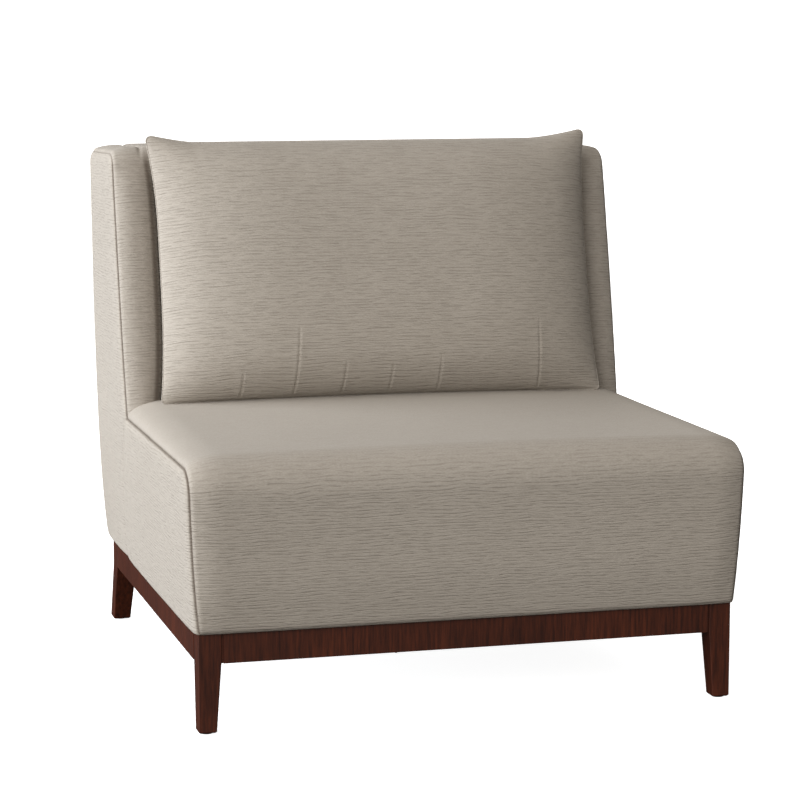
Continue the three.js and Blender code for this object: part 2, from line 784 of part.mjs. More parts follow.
function sidePanel(outline) {
  const slab = extrudeAcross(outline, panelInner, sideX(backSeamHeight) + cutOverrun);
  return toGeometry(toSolid(slab).intersect(toSolid(flaredSide())));
}

// Seam between the seat's side and the back's side, from the base up
function sideSeam(shift) {
  const top = seatSeamRear - coverThickness - fitGap;
  const start = new THREE.Vector2(baseFront + seatPanelLowDepth + shift, upholsteryBottom);
  const end = new THREE.Vector2(faceY(top) + coverThickness + fitGap + shift, top);
  const control = start.clone().add(end).divideScalar(2).add(new THREE.Vector2(seatPanelBow, 0));
  return new THREE.QuadraticBezierCurve(start, control, end).getPoints(arcSteps);
}

function seatSidePanel() {
  const rim = asOutline(inset(seatPath, coverThickness + fitGap)).slice(0, -1);
  rim[0].y = upholsteryBottom;
  return sidePanel([...rim, ...sideSeam(0).reverse()]);
}

function backSidePanel() {
  const depth = coverThickness + fitGap;
  const face = insideBackPath.filter((place) => place.z > seatSeamRear || place.outY > -edgeCrownShare);
  const rear = outsideBackPath.slice(0, -1);
  const heel = asOutline(inset(rear, depth));
  const turnUnder = backRearLow - backBottomRadius - coverThickness - fitGap;
  const sole = [
    new THREE.Vector2(turnUnder, heel.at(-1).y),
    new THREE.Vector2(turnUnder, upholsteryBottom),
  ];
  return sidePanel([...asOutline(inset(face, depth)), ...heel, ...sole, ...sideSeam(fitGap)]);
}

function dustCover() {
  const half = frameHalfWidth - dustCoverMargin;
  const rear = frameRearY(boardBottom) - backBottomRadius - dustCoverMargin;
  return block(
    new THREE.Vector3(-half, frontBoardFace + dustCoverMargin, upholsteryBottom),
    new THREE.Vector3(half, rear, boardBottom - fitGap),
  );
}

// Loose cushion, in its own frame: X across, Z up along the recline, Y into the back.
// Its front and rear faces meet in a knife-edge seam at Y = 0.
const cushionPlaneY = (z) => faceY(z) - cushionStandOff / Math.cos(reclineAngle);
const cushionRestY = cushionPlaneY(backFaceLevel);
const cushionRestZ = seatTopZ(cushionHalfWidth, cushionRestY) + cushionSeatGap;

function cushionColumns() {
  const grid = [...cushionColumnShares.map((share) => -share), ...cushionColumnShares.slice(1)];
  const half = tuckHalfWidth / cushionHalfWidth;
  const tucks = tuckPlaceShares.flatMap((share) => [share - half, share, share + half]);
  const clear = tuckClearShare * half;
  const free = grid.filter((a) => tuckPlaceShares.every((share) => Math.abs(a - share) > clear));
  return [...free, ...tucks].sort((a, b) => a - b);
}

// Depth of the sewn tucks that rise from the cushion's bottom seam
function tuckAt(along, up) {
  const half = tuckHalfWidth / cushionHalfWidth;
  return Math.max(...tuckPlaceShares.map((share, i) => {
    const beside = Math.max(1 - Math.abs(along - share) / half, 0);
    const above = Math.max(1 - up / tuckLengthShares[i], 0);
    return tuckDepth * beside * Math.sqrt(above);
  }));
}

// Fullness between two seams, 1 in the middle and 0 at each seam
const bulge = (share, [inner, outer]) => (1 - Math.abs(share) ** inner) ** outer;

function cushionPoint(along, up, side) {
  const level = 2 * up - 1;
  const x = along * (cushionHalfWidth - cushionWaist * (1 - Math.abs(level) ** cushionWaistPower));
  const low = (seatTopZ(x, cushionRestY) + cushionSeatGap - cushionRestZ) / Math.cos(reclineAngle);
  const ear = cushionEarHeight * Math.abs(along) ** cushionEarPower;
  const high = cushionHeight + ear + cushionTopSkew * along;
  const fill = bulge(along, crownAcrossPowers) * bulge(level, crownUpPowers);
  const room = cushionStandOff - backFaceCrown - fitGap;
  const front = -cushionFrontCrown * fill + tuckAt(along, up);
  const rear = Math.min(cushionFrontCrown * edgeCrownShare * fill, room);
  const edge = Math.abs(along) === 1 || up === 0 || up === 1;
  const depth = edge ? 0 : side < 0 ? Math.min(front, 0) : rear;
  return new THREE.Vector3(x, depth, THREE.MathUtils.lerp(low, high, up));
}

function cushionBody() {
  const columns = cushionColumns();
  const points = [];
  const triangles = [];
  const count = columns.length;
  for (const side of [-1, 1]) {
    const start = points.length;
    for (const up of cushionRowShares) {
      for (const along of columns) points.push(cushionPoint(along, up, side));
    }
    for (let i = 0; i + 1 < cushionRowShares.length; i += 1) {
      for (let j = 0; j + 1 < count; j += 1) {
        const a = start + i * count + j;
        const quad = [[a, a + 1, a + count + 1], [a, a + count + 1, a + count]];
        quad.forEach(([p, q, r]) => triangles.push(side < 0 ? [p, q, r] : [p, r, q]));
      }
    }
  }
  return mergeVertices(closedBody(points, triangles));
}

// Assembly
const chair = new THREE.Group();

function add(name, geometry, material, group) {
  const mesh = new THREE.Mesh(geometry, material);
  mesh.name = name;
  group.add(mesh);
  return mesh;
}

function section() {
  const group = new THREE.Group();
  chair.add(group);
  return group;
}

const sides = [["left", 1], ["right", -1]];

function addBase() {
  const base = section();
  const halfX = baseWidth / 2;
  const halfY = baseDepth / 2;
  const ends = [
    { end: "front", signY: 1, depth: legSquare, footWidth: footSquare, footDepth: footSquare, rake: 0 },
    {
      end: "rear", signY: -1, depth: rearLegDepth,
      footWidth: rearFootWidth, footDepth: rearFootDepth, rake: rearLegRake,
    },
  ];
  for (const { end, signY, depth, footWidth, footDepth, rake } of ends) {
    for (const [side, signX] of sides) {
      const corner = (name, geometry, material) => {
        const mesh = add(`${name}_${end}_${side}`, reflected(geometry, signX, signY), material, base);
        mesh.position.set(-signX * halfX, -signY * halfY, 0);
        return mesh;
      };
      corner("leg", leg(depth, footWidth, footDepth, rake), darkWood);
      corner("corner_block", cornerBlock(depth), frameWood);
      corner("corner_bolt", cornerBolt(depth), zincSteel);
      const foot = glide().translate(footWidth / 2, footDepth / 2 - rake, 0);
      corner("glide", foot, glidePlastic);
    }
  }
  const crossClear = baseWidth - 2 * legSquare;
  const sideClear = baseDepth - legSquare - rearLegDepth;
  const sideMiddle = (legSquare - rearLegDepth) / 2;
  add("rail_front", rail(crossClear), darkWood, base).position.set(0, -halfY, 0);
  const rear = add("rail_rear", rail(crossClear), darkWood, base);
  rear.rotation.z = Math.PI;
  rear.position.set(0, halfY, 0);
  for (const [side, signX] of sides) {
    const mesh = add(`rail_${side}`, rail(sideClear), darkWood, base);
    mesh.rotation.z = -signX * Math.PI / 2;
    mesh.position.set(-signX * halfX, sideMiddle, 0);
  }
}

function addSeat() {
  const seat = section();
  add("dust_cover", dustCover(), dustFabric, seat);
  add("seat_board_front", crossBoard(frontBoardFace, boardBottom, boardTop), frameWood, seat);
  add("spring_rail", crossBoard(springRailFront, boardBottom, boardTop), frameWood, seat);
  add("seat_board_left", reflected(seatSideBoard(), -1, 1), frameWood, seat);
  add("seat_board_right", seatSideBoard(), frameWood, seat);
  for (let i = 0; i < springCount; i += 1) {
    const place = (i - (springCount - 1) / 2) * springSpacing;
    add(`seat_spring_${i + 1}`, seatSpring(), springSteel, seat).position.x = place;
    add(`spring_clip_front_${i + 1}`, springClip(clipSpanFront, 1), zincSteel, seat).position.x = place;
    add(`spring_clip_rear_${i + 1}`, springClip(clipSpanRear, -1), zincSteel, seat).position.x = place;
  }
  add("deck_pad", deckPad(), felt, seat);
  add("seat_foam", seatFoam(), foam, seat);
  add("seat_top_cover", seatTopCover(), coverFabric, seat);
  add("seat_side_panel_left", reflected(seatSidePanel(), -1, 1), coverFabric, seat);
  add("seat_side_panel_right", seatSidePanel(), coverFabric, seat);
}

function addBack() {
  const back = section();
  const heel = backBottomRadius + coverThickness;
  const lowBoardFront = frameRearY(boardBottom) - heel - boardThickness - fitGap;
  add("back_board_left", reflected(backSideBoard(), -1, 1), frameWood, back);
  add("back_board_right", backSideBoard(), frameWood, back);
  add("back_board_low", crossBoard(lowBoardFront, boardBottom, boardTop), frameWood, back);
  add("back_board_top", backTopBoard(), frameWood, back);
  add("lumbar_rail", lumbarRail(), frameWood, back);
  for (let i = 0; i < webbingCount; i += 1) {
    const place = (i - (webbingCount - 1) / 2) * webbingSpacing;
    add(`back_webbing_${i + 1}`, webbing(place), webbingFabric, back);
  }
  add("back_foam", backFoam(), foam, back);
  add("inside_back_cover", insideBackCover(), coverFabric, back);
  add("back_side_panel_left", reflected(backSidePanel(), -1, 1), coverFabric, back);
  add("back_side_panel_right", backSidePanel(), coverFabric, back);
  add("outside_back_cover", outsideBackCover(), coverFabric, back);
}

function addCushion() {
  const loose = section();
  loose.position.set(0, cushionRestY, cushionRestZ);
  loose.rotation.x = -reclineAngle;
  add("back_cushion", cushionBody(), cushionFabric, loose);
}

addBase();
addSeat();
addBack();
addCushion();

// The origin is under the middle of the chair's box, on the floor
const box = new THREE.Box3().setFromObject(chair, true);
chair.position.set(-(box.min.x + box.max.x) / 2, -(box.min.y + box.max.y) / 2, -box.min.z);

export default chair;
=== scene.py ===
"""Looks of a slipper chair: greige slub fabric over a low dark timber base, with one loose back cushion."""

import math

import bmesh
import bpy
import numpy as np
from mathutils import Matrix, Vector


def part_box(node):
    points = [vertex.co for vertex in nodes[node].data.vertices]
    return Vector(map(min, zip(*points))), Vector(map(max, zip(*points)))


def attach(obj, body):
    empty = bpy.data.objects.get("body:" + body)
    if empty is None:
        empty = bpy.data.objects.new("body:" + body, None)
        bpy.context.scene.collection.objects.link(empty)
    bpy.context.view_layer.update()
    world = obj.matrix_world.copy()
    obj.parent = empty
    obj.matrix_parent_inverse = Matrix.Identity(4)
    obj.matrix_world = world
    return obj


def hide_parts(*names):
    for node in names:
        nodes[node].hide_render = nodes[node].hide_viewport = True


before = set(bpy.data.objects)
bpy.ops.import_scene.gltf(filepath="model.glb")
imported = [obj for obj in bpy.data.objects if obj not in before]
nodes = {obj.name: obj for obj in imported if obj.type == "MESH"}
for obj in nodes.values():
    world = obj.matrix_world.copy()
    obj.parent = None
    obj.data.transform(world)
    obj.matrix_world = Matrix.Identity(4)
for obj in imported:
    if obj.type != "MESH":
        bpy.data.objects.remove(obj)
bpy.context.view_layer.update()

# Sizes of the chair, in metres, as in the part
MM = 0.001
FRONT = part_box("rail_front")[0].y
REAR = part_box("rail_rear")[1].y
HALF = (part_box("rail_right")[1].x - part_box("rail_left")[0].x) / 2
RAIL_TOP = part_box("rail_front")[1].z
HEM = RAIL_TOP + 0.3 * MM
LEAN = math.radians(13.1)
TAN, COS, SIN = math.tan(LEAN), math.cos(LEAN), math.sin(LEAN)
COVER = 3 * MM
FRONT_LOW = FRONT - 4 * MM
FRONT_OUT = 6.5 * MM
SEAT_SEAM = 398 * MM
SEAT_SEAM_REAR = 405 * MM
BACK_SEAM = 846 * MM
BACK_LOW = REAR + 47 * MM
BACK_RAKE = 29 * MM
FACE_LEVEL = 425 * MM
FACE_SETBACK = 552.5 * MM
SIDE_OUT = 18 * MM
SIDE_RISE = 162 * MM

# The cushion against the back: half its width, the bow of its side edges, its foot and its height there
CUSHION_HALF = 388 * MM
CUSHION_BOW = 10 * MM
CUSHION_FOOT = 430 * MM
CUSHION_SPAN = 437 * MM

# Crowns of the covers, in millimetres where they grow along the seat, and their reach in from the side seams
SEAT_CROWN = 22
SEAT_CROWN_GAIN = 12
SEAT_REACH = 60 * MM
FRONT_CROWN = 13.5 * MM
FRONT_REACH = 52 * MM
FRONT_FADE = 90 * MM
FACE_CROWN = 4 * MM
TOP_CROWN = 13 * MM
REAR_CROWN = 3 * MM
BACK_REACH = 32 * MM
TOP_REACH_GAIN = 10 * MM

# Inside back: the ridge beside the cushion, the crease along its edge, and the pleats at the top
RIDGE = 12 * MM
RIDGE_REACH = 34 * MM
CREASE = 15 * MM
CREASE_REACH = 34 * MM
PLEAT_PLACE = 393 * MM
PLEAT_DEPTH = 2.8 * MM
PLEAT_WIDTH = 3.2 * MM

# Seams: half width of their painted shade, how deep they are drawn in, the right side's share, cloth left
# beside them
SEAM_SHADE = 1.7 * MM
SEAM_DEPTH = 3.3 * MM
SEAM_SHARE_RIGHT = 0.55
SEAM_INSET = 0.5 * MM


def face_y(z):
    """Place of the inside back's face at a height."""
    return FRONT + FACE_SETBACK + (z - FACE_LEVEL) * TAN


def rear_y(z):
    """Place of the outside back's face at a height."""
    return BACK_LOW + BACK_RAKE * (z - RAIL_TOP) / (BACK_SEAM - RAIL_TOP)


def side_x(z):
    """Half width over the side panels at a height."""
    return HALF + 2 * MM + SIDE_OUT * (1 - np.exp((RAIL_TOP - z) / SIDE_RISE))


# Mesh helpers
NOISE_TABLE = 4096
NOISE_OCTAVES = 2


def smooth_noise(points, scale, seed):
    """Seeded smooth value noise in -1..1 for an array of points."""
    rng = np.random.default_rng(seed)
    table = rng.uniform(-1, 1, NOISE_TABLE)
    total = np.zeros(len(points))
    gain, weight = 1.0, 0.0
    p = np.asarray(points, float) * scale
    for octave in range(NOISE_OCTAVES):
        base = np.floor(p).astype(int)
        t = p - base
        t = t * t * (3 - 2 * t)
        value = np.zeros(len(p))
        for dx, dy, dz in np.ndindex(2, 2, 2):
            key = ((base[:, 0] + dx) * 73856093) ^ ((base[:, 1] + dy) * 19349663)
            key = (key ^ ((base[:, 2] + dz) * 83492791) ^ (octave * 7919)) & (NOISE_TABLE - 1)
            wx = t[:, 0] if dx else 1 - t[:, 0]
            wy = t[:, 1] if dy else 1 - t[:, 1]
            wz = t[:, 2] if dz else 1 - t[:, 2]
            value += wx * wy * wz * table[key]
        total += gain * value
        weight += gain
        gain *= 0.5
        p = p * 2.03
    return total / weight


def uneven(u, v, wavelength, seed, w=0.0):
    """Seeded unevenness, -1 to 1, of a surface with the coordinates u and v."""
    places = np.column_stack([u.ravel(), v.ravel(), np.full(u.size, float(w))])
    return smooth_noise(places, 1 / wavelength, seed).reshape(u.shape)


def make_object(name, points, faces, cloth=None, seam=None, calm=None):
    """A smooth mesh with values stored at its points.

    cloth holds two places along the weave and a number that sets the piece apart, seam how much painted shade
    darkens the cloth along a seam, and calm how much weaker the weave shows.
    """
    mesh = bpy.data.meshes.new(name)
    mesh.from_pydata([tuple(p) for p in points], [], [tuple(int(i) for i in f) for f in faces])
    mesh.update()
    for key, kind, field, values in (
        ("cloth", "FLOAT_VECTOR", "vector", cloth),
        ("seam", "FLOAT", "value", seam),
        ("calm", "FLOAT", "value", calm),
    ):
        if values is not None:
            layer = mesh.attributes.new(key, kind, "POINT")
            layer.data.foreach_set(field, np.asarray(values, np.float32).ravel())
    mesh.polygons.foreach_set("use_smooth", [True] * len(mesh.polygons))
    obj = bpy.data.objects.new(name, mesh)
    bpy.context.scene.collection.objects.link(obj)
    return obj


def quads(rows, columns, start=0, flip=False):
    """Faces of a grid of points, numbered row by row."""
    i, j = np.meshgrid(np.arange(rows - 1), np.arange(columns - 1), indexing="ij")
    a = start + (i * columns + j).ravel()
    faces = np.stack([a, a + 1, a + columns + 1, a + columns], 1)
    return faces[:, ::-1] if flip else faces


def rim_of(grid):
    """What lies along the edge of a grid, once round."""
    return np.concatenate([grid[0, :-1], grid[:-1, -1], grid[-1, :0:-1], grid[:0:-1, 0]])


def face_out(obj, weld=False):
    """Turns every face of a closed mesh outwards, once points that coincide are joined where asked."""
    bm = bmesh.new()
    bm.from_mesh(obj.data)
    if weld:
        bmesh.ops.remove_doubles(bm, verts=bm.verts, dist=1e-7)
    bmesh.ops.recalc_face_normals(bm, faces=bm.faces)
    bm.to_mesh(obj.data)
    bm.free()
    return obj


def two_skins(outer, inner, cloth, distance):
    """Faces, points, cloth coordinates and painted seam shade of two grids of points that lie back to back.
    """
    rows, columns = outer.shape[:2]
    faces = np.concatenate([quads(rows, columns), quads(rows, columns, rows * columns, True)])
    points = np.concatenate([outer.reshape(-1, 3), inner.reshape(-1, 3)])
    weave = np.concatenate([cloth.reshape(-1, 3)] * 2)
    seam = np.exp(-((np.concatenate([distance.ravel()] * 2) / SEAM_SHADE) ** 2))
    return faces, points, weave, seam


def shell(name, outer, inner, cloth, distance, calm=None):
    """A closed skin between two grids of points."""
    rows, columns = outer.shape[:2]
    half = rows * columns
    loop = rim_of(np.arange(half).reshape(rows, columns))
    after = np.roll(loop, -1)
    band = np.stack([after, loop, half + loop, half + after], 1)
    faces, points, weave, seam = two_skins(outer, inner, cloth, distance)
    faces = np.concatenate([faces, band])
    if calm is not None:
        calm = np.concatenate([calm.ravel()] * 2)
    return face_out(make_object(name, points, faces, weave, seam, calm))


def closed_pair(name, front, rear, cloth, distance):
    """A closed body of two grids that share their rims."""
    faces, points, weave, seam = two_skins(front, rear, cloth, distance)
    return face_out(make_object(name, points, faces, weave, seam), weld=True)


def resample(points, steps):
    """Points of a line at even steps along it."""
    points = np.asarray(points, float)
    lengths = np.concatenate([[0], np.cumsum(np.linalg.norm(np.diff(points, axis=0), axis=1))])
    at = np.linspace(0, lengths[-1], steps)
    return np.stack([np.interp(at, lengths, points[:, k]) for k in range(points.shape[1])], 1)


# Side paths of the covers
PATH_STEP = 6 * MM
ARC_STEP = 2.6 * MM


def rounded_path(corners):
    """y, z, outward y, outward z and length along a side outline with rounded corners."""
    line = []
    for i, (y, z, radius) in enumerate(corners):
        here = np.array([y, z])
        if i in (0, len(corners) - 1) or radius == 0:
            line.append(here)
            continue
        back = np.array(corners[i - 1][:2]) - here
        ahead = np.array(corners[i + 1][:2]) - here
        back /= np.linalg.norm(back)
        ahead /= np.linalg.norm(ahead)
        half = math.acos(np.clip(back @ ahead, -1, 1)) / 2
        middle = (back + ahead) / np.linalg.norm(back + ahead)
        centre = here + middle * radius / math.sin(half)
        start = here + back * radius / math.tan(half) - centre
        end = here + ahead * radius / math.tan(half) - centre
        sweep = math.atan2(start[0] * end[1] - start[1] * end[0], start @ end)
        steps = max(6, int(abs(sweep) * radius / ARC_STEP))
        for k in range(steps + 1):
            angle = sweep * k / steps
            turn = np.array([[math.cos(angle), -math.sin(angle)], [math.sin(angle), math.cos(angle)]])
            line.append(centre + turn @ start)
    dense = []
    for p, q in zip(line[:-1], line[1:]):
        steps = max(1, int(round(np.linalg.norm(q - p) / PATH_STEP)))
        dense += [p + (q - p) * k / steps for k in range(steps)]
    dense.append(line[-1])
    dense = np.array(dense)
    along = np.gradient(dense, axis=0)
    along /= np.linalg.norm(along, axis=1, keepdims=True)
    length = np.concatenate([[0], np.cumsum(np.linalg.norm(np.diff(dense, axis=0), axis=1))])
    return np.column_stack([dense, -along[:, 1], along[:, 0], length])


# Corners of the side outlines: place, height and the radius of the rounding
seat_path = rounded_path([
    (FRONT_LOW, HEM, 0),
    (FRONT_LOW - FRONT_OUT, SEAT_SEAM, 40 * MM),
    (face_y(SEAT_SEAM_REAR), SEAT_SEAM_REAR, 0),
])
inside_low = SEAT_SEAM_REAR - 60 * MM
turn_down = BACK_SEAM - 33 * MM
inside_path = rounded_path([
    (face_y(inside_low), inside_low, 0),
    (face_y(BACK_SEAM), BACK_SEAM, 30 * MM),
    (rear_y(BACK_SEAM), BACK_SEAM, 21 * MM),
    (rear_y(turn_down), turn_down, 0),
])
outside_path = rounded_path([
    (rear_y(turn_down - 0.3 * MM), turn_down - 0.3 * MM, 0),
    (BACK_LOW, HEM, 16 * MM),
    (BACK_LOW - 19 * MM, HEM, 0),
])


# Crowns of the covers: how far they stand out of their side paths, all with the same arguments
def crown_at(x, z, reach):
    """Fullness of a cover across the chair, 0 at the side seams and 1 in the middle."""
    half = side_x(z)
    edge = np.clip((half - np.abs(x)) / reach, 0, 1)
    rise = np.sqrt(1 - (1 - edge) ** 2)
    return 0.82 * rise + 0.18 * (1 - (x / half) ** 2)


def smooth_step(share):
    """Eases from 0 to 1 as the share does."""
    t = np.clip(share, 0, 1)
    return t * t * (3 - 2 * t)


def roll_over(distance, reach):
    """Rise of a stuffed face away from its seam, upright at the seam itself."""
    return np.sqrt(np.clip(1 - (1 - np.clip(distance / reach, 0, 1)) ** 2, 0, 1))


def soft_edge(distance, reach):
    """Rise of a stuffed edge, steep at the seam and easing out over its reach."""
    left = 1 - np.clip(distance / reach, 0, 1)
    return 0.5 * np.sqrt(1 - left ** 2) + 0.5 * (1 - left ** 2)


def along_seat(y):
    """Share of the way from the seat's front to its rear."""
    return (y - FRONT_LOW) / (face_y(SEAT_SEAM_REAR) - FRONT_LOW)


def seat_rise(x, y, z):
    """Rise of the seat's top over its side seams at a height of those."""
    return (SEAT_CROWN + SEAT_CROWN_GAIN * along_seat(y)) * MM * crown_at(x, z, SEAT_REACH)


def seat_crown(x, y, z, out_y, out_z):
    """Stand of the seat's cover: a soft crown on top, and a fainter one in front that fades to the hem."""
    top = seat_rise(x, y, z)
    above = np.clip((z - HEM) / FRONT_FADE, 0, 1)
    fade = 0.25 + 0.75 * np.sin(above * math.pi / 2)
    front = FRONT_CROWN * fade * soft_edge(side_x(z) - np.abs(x), FRONT_REACH)
    return front + (top - front) * np.maximum(out_z, 0) ** 2


def seat_top_z(x, y):
    """Height of the seat's top, on which the cushion stands."""
    seam = SEAT_SEAM + (SEAT_SEAM_REAR - SEAT_SEAM) * along_seat(y)
    return seam + seat_rise(x, y, seam)


def beyond_cushion(x, z):
    """Distance across the back outwards of the edge of the loose cushion."""
    level = np.clip((z - CUSHION_FOOT) / CUSHION_SPAN * 2 - 1, -1, 1)
    return np.abs(x) - CUSHION_HALF + CUSHION_BOW * (1 - np.abs(level) ** 3)


def cushion_painted_shade(x, z):
    """Painted shade on the back: a dark line in the crease along the cushion's edge, and a fainter band
    beside it, where the cushion keeps light off.
    """
    beyond = beyond_cushion(x, z)
    # A dark painted line in the crease, where the crevice lies in shade
    crease = 0.95 * np.exp(-(((beyond - 1.5 * MM) / (6.5 * MM)) ** 2))
    # A fainter painted band beside the edge, in the cushion's shade
    beside = 0.32 * np.exp(-((np.maximum(beyond, 0) / (45 * MM)) ** 2))
    beside = beside * smooth_step((beyond + 30 * MM) / (20 * MM))
    return np.maximum(crease, beside) * (1 - smooth_step((z - 825 * MM) / (25 * MM)))


def back_crown(x, y, z, out_y, out_z):
    """Stand of the inside back: a flat face with a ridge beside the cushion, a crease, and a crowned top."""
    upright = np.where(out_y < 0, FACE_CROWN, REAR_CROWN)
    turn = np.clip((out_z - SIN) / (1 - SIN), 0, 1)
    crown = (upright + (TOP_CROWN - upright) * turn) * crown_at(x, z, BACK_REACH + TOP_REACH_GAIN * turn)
    edge = side_x(z) - np.abs(x)
    inner = np.clip((edge - 30 * MM) / (34 * MM), 0, 1)
    ridge = RIDGE * soft_edge(edge, RIDGE_REACH) * (1 - 0.1 * inner ** 2)
    ridge = ridge * (1 - 0.8 * smooth_step((z - 785 * MM) / (50 * MM)))
    beyond = beyond_cushion(x, z)
    roll = roll_over(beyond + 10 * MM, CREASE_REACH)
    crease = CREASE * (1 - roll) * (1 - smooth_step((-20 * MM - beyond) / (16 * MM)))
    crease = crease * (1 - smooth_step((z - 790 * MM) / (54 * MM)))
    return crown + (ridge * roll - crease) * np.where(out_y < 0, 1 - turn, 0)


def rear_crown(x, y, z, out_y, out_z):
    """Stand of the outside back, which is pulled almost flat."""
    return REAR_CROWN * np.maximum(out_y, 0) * crown_at(x, z, BACK_REACH)


def top_pleats(x, y, z):
    """A small pleat each side, taken in the cover where it turns over the top of the back."""
    over = smooth_step((z - (BACK_SEAM - 14 * MM)) / (14 * MM))
    line = np.abs(x) - PLEAT_PLACE - 3 * MM * np.sin(y * 40)
    dip = -PLEAT_DEPTH * np.exp(-((line / PLEAT_WIDTH) ** 2)) + 1.5 * MM * smooth_step(-line / (16 * MM))
    return dip * over


# Sewn covers
MIDDLE_STEPS = 75
HEM_ROLL = 5 * MM
HEM_DROP = 1.8 * MM
GATHER_LENGTH = 13 * MM
COVER_SKIN = COVER * 0.9


def column_shares(reach_share, edge_steps):
    """Places across a cover, -1 to 1, closer together where it turns into its side seams."""
    t = np.linspace(0, math.pi / 2, edge_steps)
    edge = 1 - reach_share * (1 - np.cos(t))
    middle = np.linspace(edge[-1], 0, MIDDLE_STEPS + 1)[1:]
    right = np.concatenate([edge, middle])
    return np.concatenate([-right, right[:-1][::-1]])


def seam_depth(x):
    """How deep the side seams are drawn in, less on the right."""
    return SEAM_DEPTH * np.where(x < 0, 1.0, SEAM_SHARE_RIGHT)


def seam_profile(distance):
    """Stand of a cover near a sewn seam: a groove at the seam and a soft roll beside it."""
    groove = -0.4 * MM * np.exp(-((distance / (2.2 * MM)) ** 2))
    roll = 0.5 * MM * np.exp(-(((distance - 7 * MM) / (5 * MM)) ** 2))
    return groove + roll


def pucker(along, distance, seed, height):
    """Small gathers that the stitches of a seam leave in the cloth beside it."""
    ripple = uneven(along, np.zeros_like(along), GATHER_LENGTH, seed)
    return height * ripple * np.exp(-distance / (12 * MM))


def cover(
    name, path, crown, reach, seed,
    drape=None, rolled_hem=False, edge_steps=22, faint=0.0, calm=0.0, painted_shade=None,
):
    """A sewn cover over a side path: crown, seam rolls, gathers and a slightly uneven surface.

    faint weakens the painted seam shade on top, calm the weave there, and painted_shade paints shade on the
    upright face beside the cushion.
    """
    half = side_x(path[:, 1])
    shares = column_shares(reach / half.mean(), edge_steps)
    x = half[:, None] * shares[None, :]
    y, z, out_y, out_z, s = (np.repeat(path[:, k:k + 1], len(shares), 1) for k in range(5))
    stand = crown(x, y, z, out_y, out_z)
    edge = half[:, None] - np.abs(x)
    arc = np.hypot(edge, stand)
    stand = stand + seam_profile(arc) + pucker(s, arc, seed, 0.5 * MM)
    stand = stand + 0.9 * MM * uneven(x, s, 0.16, seed + 1) * np.clip(arc / 0.06, 0, 1)
    hem = np.minimum(s, HEM_ROLL) if rolled_hem else np.full_like(x, HEM_ROLL)
    stand = stand - HEM_DROP * (1 - roll_over(hem, HEM_ROLL))
    if drape is not None:
        stand = stand + drape(x, y, z)
    inward = -seam_depth(x) * np.exp(-edge / (13 * MM))
    outer = np.stack([x + np.sign(x) * inward, y + out_y * stand, z + out_z * stand], 2)
    narrower = -np.sign(x) * COVER_SKIN * np.exp(-arc / (10 * MM))
    inner = outer + np.stack([narrower, -out_y * COVER_SKIN, -out_z * COVER_SKIN], 2)
    cloth = np.stack([x, s, np.zeros_like(x)], 2)
    level = np.clip(out_z, 0, 1) ** 2
    # Painted shade along the side seams, made fainter on top
    shade = arc + faint * level
    # Painted shade beside the cushion on the upright face, carried in the seam attribute
    if painted_shade is not None:
        painted_darkness = np.clip(painted_shade(x, z) * np.clip(-2 * out_y, 0, 1), 1e-9, 1)
        shade = np.minimum(shade, SEAM_SHADE * np.sqrt(-np.log(painted_darkness)))
    return shell(name, outer, inner, cloth, shade, calm * level)


# Sewn side panels
PANEL_SKIN = 2.4 * MM
DRAWN_TOGETHER = 0.75


def spread(count):
    """Even steps drawn together at both ends."""
    t = np.linspace(0, 1, count)
    return t - DRAWN_TOGETHER * np.sin(2 * math.pi * t) / (2 * math.pi)


def points_at(line, at):
    """Points between those of a line, by their place in it."""
    return np.stack([np.interp(at, np.arange(len(line)), line[:, k]) for k in range(2)], 1)


def seam_distances(rim, sole_count, points):
    """Distance of each point from the sewn rim, its place along that, and its distance from the sole."""
    distance = np.full(len(points), 1e9)
    low = distance.copy()
    along = np.zeros(len(points))
    run = np.concatenate([[0], np.cumsum(np.linalg.norm(np.diff(rim, axis=0), axis=1))])
    for k in range(len(rim) - 1):
        a, b = rim[k], rim[k + 1]
        ab = b - a
        length = ab @ ab
        if length < 1e-12:
            continue
        t = np.clip((points - a) @ ab / length, 0, 1)
        d = np.linalg.norm(points - a - t[:, None] * ab, axis=1)
        if k < sole_count - 1:
            low = np.minimum(low, d)
            continue
        near = d < distance
        distance[near] = d[near]
        along[near] = run[k] + t[near] * math.sqrt(length)
    return distance, along, low


